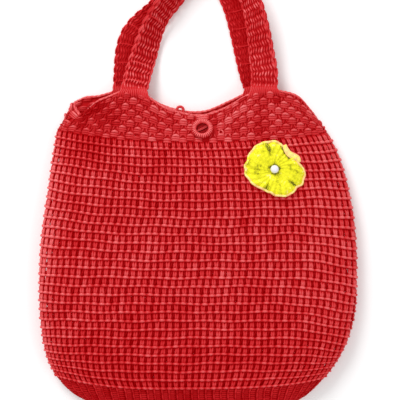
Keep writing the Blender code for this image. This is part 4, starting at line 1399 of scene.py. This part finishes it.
def petalPlace(number, share, reachShare, lift=0.0):
    start, end = petal["gaps"][number] - petal["lap"], petal["gaps"][number + 1] + petal["lap"]
    degrees = start + (end - start) * share
    turn = math.radians(1.0) * degrees
    side = np.abs(2 * share - 1)
    reach = flowerReach(degrees) * (1 - 0.07 * side ** 8) * (0.99 + 0.01 * np.sin(turn * 17 + number))
    radius = petal["inner"] + (reach - petal["trim"] - petal["inner"]) * reachShare
    x = flower["place"][0] + radius * np.cos(np.radians(degrees))
    y = flower["place"][1] + radius * np.sin(np.radians(degrees))
    dome = petal["dome"] * np.sqrt(np.clip(1 - (radius / flower["radius"]) ** 4, 0.0, 1.0))
    dome = dome - petal["hollow"] * bell(radius, petal["hollowWidth"])
    cup = petal["cup"] * bell(reachShare - 0.8, 0.22) * (1 - side ** 2)
    dip = petal["dip"] * side ** 7 * np.clip(reachShare * 1.5, 0.0, 1.0)
    ruffle = petal["ruffle"] * np.sin(turn * 13 + 2.1 * number) * reachShare ** 3
    wave = ruffle + petal["wave"] * np.sin(turn * 23 + 0.35 * radius) * reachShare
    rows = petal["rowHeight"] * np.abs(np.sin(math.pi * radius / petal["rowWidth"]))
    rows = rows + petal["ribHeight"] * np.abs(np.sin(turn * 34)) * reachShare
    height = np.maximum(dome + cup - dip + wave + rows, petal["lowest"]) + lift
    return np.stack([x, y, flowerGround(x, y) + height], axis=-1)


def makePetal(number):
    lift = petal["lifts"][number]
    piece = addSheet("petal", petal["across"], petal["along"],
                     lambda across, along: petalPlace(number, 1 - across, along, lift), petal["thick"])
    places = readNumbers(piece.data.vertices, "co", 3) / mm - drawingOffset
    x, y = (places[:, k] - flower["place"][k] for k in (0, 1))
    away = np.hypot(x, y)
    degrees = np.degrees(np.arctan2(y, x))
    # painted olive shade in the creases between petals, mottled
    mottle = 0.55 + 0.45 * np.sin(degrees * 1.3 + 2.0 * np.sin(away * 1.1))
    tone = np.full(len(places), 0.5)
    for gap, depth, wide, start in petal["creases"]:
        near = np.mod(degrees - gap + 180, 360) - 180
        tone -= 0.75 * depth * bell(near, wide) * ease(away, start, start + 9.0) * mottle
    streaks = 0.12 * np.sin(away * 0.55 + 2 * number) * np.sin(math.radians(5.0) * degrees)
    # painted shade round the pearl, and a painted shadow beside the curled piece
    tone += streaks - 0.45 * bell(away - 5.0, 1.6)
    tone -= 0.8 * bell(nearest(places, np.array(curl["shadowLine"])), 2.0)
    setTone(piece.data, tone)
    count = petal["trimPoints"]
    rimLine = petalPlace(number, np.linspace(0.0, 1.0, count), np.full(count, 1.0), lift + 0.15)
    strand = cordPattern([(rimLine, petal["trim"] * (0.85 + 0.3 * np.abs(np.sin(np.arange(count) * 1.25))))])
    # cream at the left, orange at the lower right
    x, y = (strand["places"][:, k] - flower["place"][k] for k in (0, 1))
    strand["shade"] = 0.94 + 0.07 * np.cos(np.arctan2(y, x) + 0.4)
    return piece, layOne("petalTrim", strand, strand["places"], 0.0)


def makeCurl():
    # a narrow petal rolled lengthwise, over the gap at the upper right
    line = np.array(curl["line"])

    def curlPlace(across, along):
        at = along * (len(line) - 1)
        knots = np.arange(len(line))
        x, y, high, wide = (curveThrough(knots, line[:, k], at) for k in range(4))
        ahead = np.stack([np.gradient(curveThrough(knots, line[:, k], knots)) for k in (0, 1)], axis=1)
        turned = np.stack([np.interp(at, knots, ahead[:, 1]), -np.interp(at, knots, ahead[:, 0])], axis=-1)
        turned /= np.linalg.norm(turned, axis=-1, keepdims=True)
        angle = math.radians(115) * (2 * across - 1)
        off = wide * np.sin(angle)
        x, y = x + turned[..., 0] * off, y + turned[..., 1] * off
        height = high + wide * 0.8 * (np.cos(angle) - 1) + 0.25 * np.sin(30 * along)
        return np.stack([x, y, flowerGround(x, y) + height], axis=-1)

    piece = addSheet("curl", 16, 40, curlPlace, petal["thick"] * 0.7)
    x, y, z = readNumbers(piece.data.vertices, "co", 3).T / mm
    setTone(piece.data, 0.76 + 0.2 * np.sin(2.3 * (x - y)) * np.sin(1.7 * (x + y)))
    made = [piece]
    for side in (0.12, 0.88):
        strand = cordPattern([(curlPlace(np.full(40, side), np.linspace(0.0, 1.0, 40)), 0.9)])
        made.append(layOne("curlTrim", strand, strand["places"], 0.88))
    return made


def makeFlower():
    made = []
    for number in range(len(petal["lifts"])):
        made += makePetal(number)
    made += makeCurl()
    for piece in made:
        piece.data.materials.clear()
    choose(*made)
    bpy.ops.object.join()
    piece = bpy.context.object
    piece.name = "flowerPetals"
    finishPiece(piece, yarnYellow, "yellow_yarn", "flower")
    # a dark ring of yarn: painted shade in the hollow under the pearl
    reach = flower["shadeRing"]
    line = [(reach * math.cos(turn), reach * math.sin(turn), 0.0) for turn in np.linspace(0.0, math.tau, 28)]
    ring = cordPattern([(line, flower["shadeRingCord"])])
    x, y = flower["place"]
    shadeRingPlace = np.array([x, y, flowerGround(x, y) + flower["shadeRingHeight"]])
    collar = layOne("pearlShadeRing", ring, ring["places"] + shadeRingPlace, 0.05)
    finishPiece(collar, yarnYellow, "yellow_yarn")
    return piece, collar


petals, shadeRing = makeFlower()

deselect()
bpy.ops.mesh.primitive_uv_sphere_add(segments=32, ring_count=20, radius=flower["bead"] * mm,
                                     location=(beadLow + beadHigh) / 2)
pearl = bpy.context.object
pearl.name = "pearl"
bpy.ops.object.transform_apply(location=True, rotation=True, scale=True)
bpy.ops.object.shade_smooth()
finishPiece(pearl, pearlWhite, "pearl", "flower_bead")
print("flower and pearl made")

# floor and light
deselect()
bpy.ops.mesh.primitive_plane_add(size=6.0, location=(0.0, 0.0, 0.0))
floor = bpy.context.object
floor.name = "floor"
material, tree, shader = newMaterial("pale floor")
setInputs(tree, shader, {"Base Color": (*finish["floor"], 1.0), "Roughness": 0.8})
floor.data.materials.append(material)

light = {
    "sky": 0.75,
    # place, power, size
    "window": ((-0.8, 1.3, 1.3), 26.0, 0.8),
    "fill": ((1.3, -0.9, 1.4), 7.0, 1.2),
}
world = bpy.data.worlds.new("soft studio")
world.use_nodes = True
world.node_tree.nodes["Background"].inputs["Color"].default_value = (1.0, 1.0, 1.0, 1.0)
world.node_tree.nodes["Background"].inputs["Strength"].default_value = light["sky"]
bpy.context.scene.world = world
for name in ("window", "fill"):
    place, power, size = light[name]
    bpy.ops.object.light_add(type="AREA", location=place)
    lamp = bpy.context.object
    lamp.name = name
    lamp.data.energy = power
    lamp.data.size = size
    lamp.rotation_euler = (-Vector(place)).to_track_quat("-Z", "Y").to_euler()
bpy.context.scene.view_settings.view_transform = "Standard"
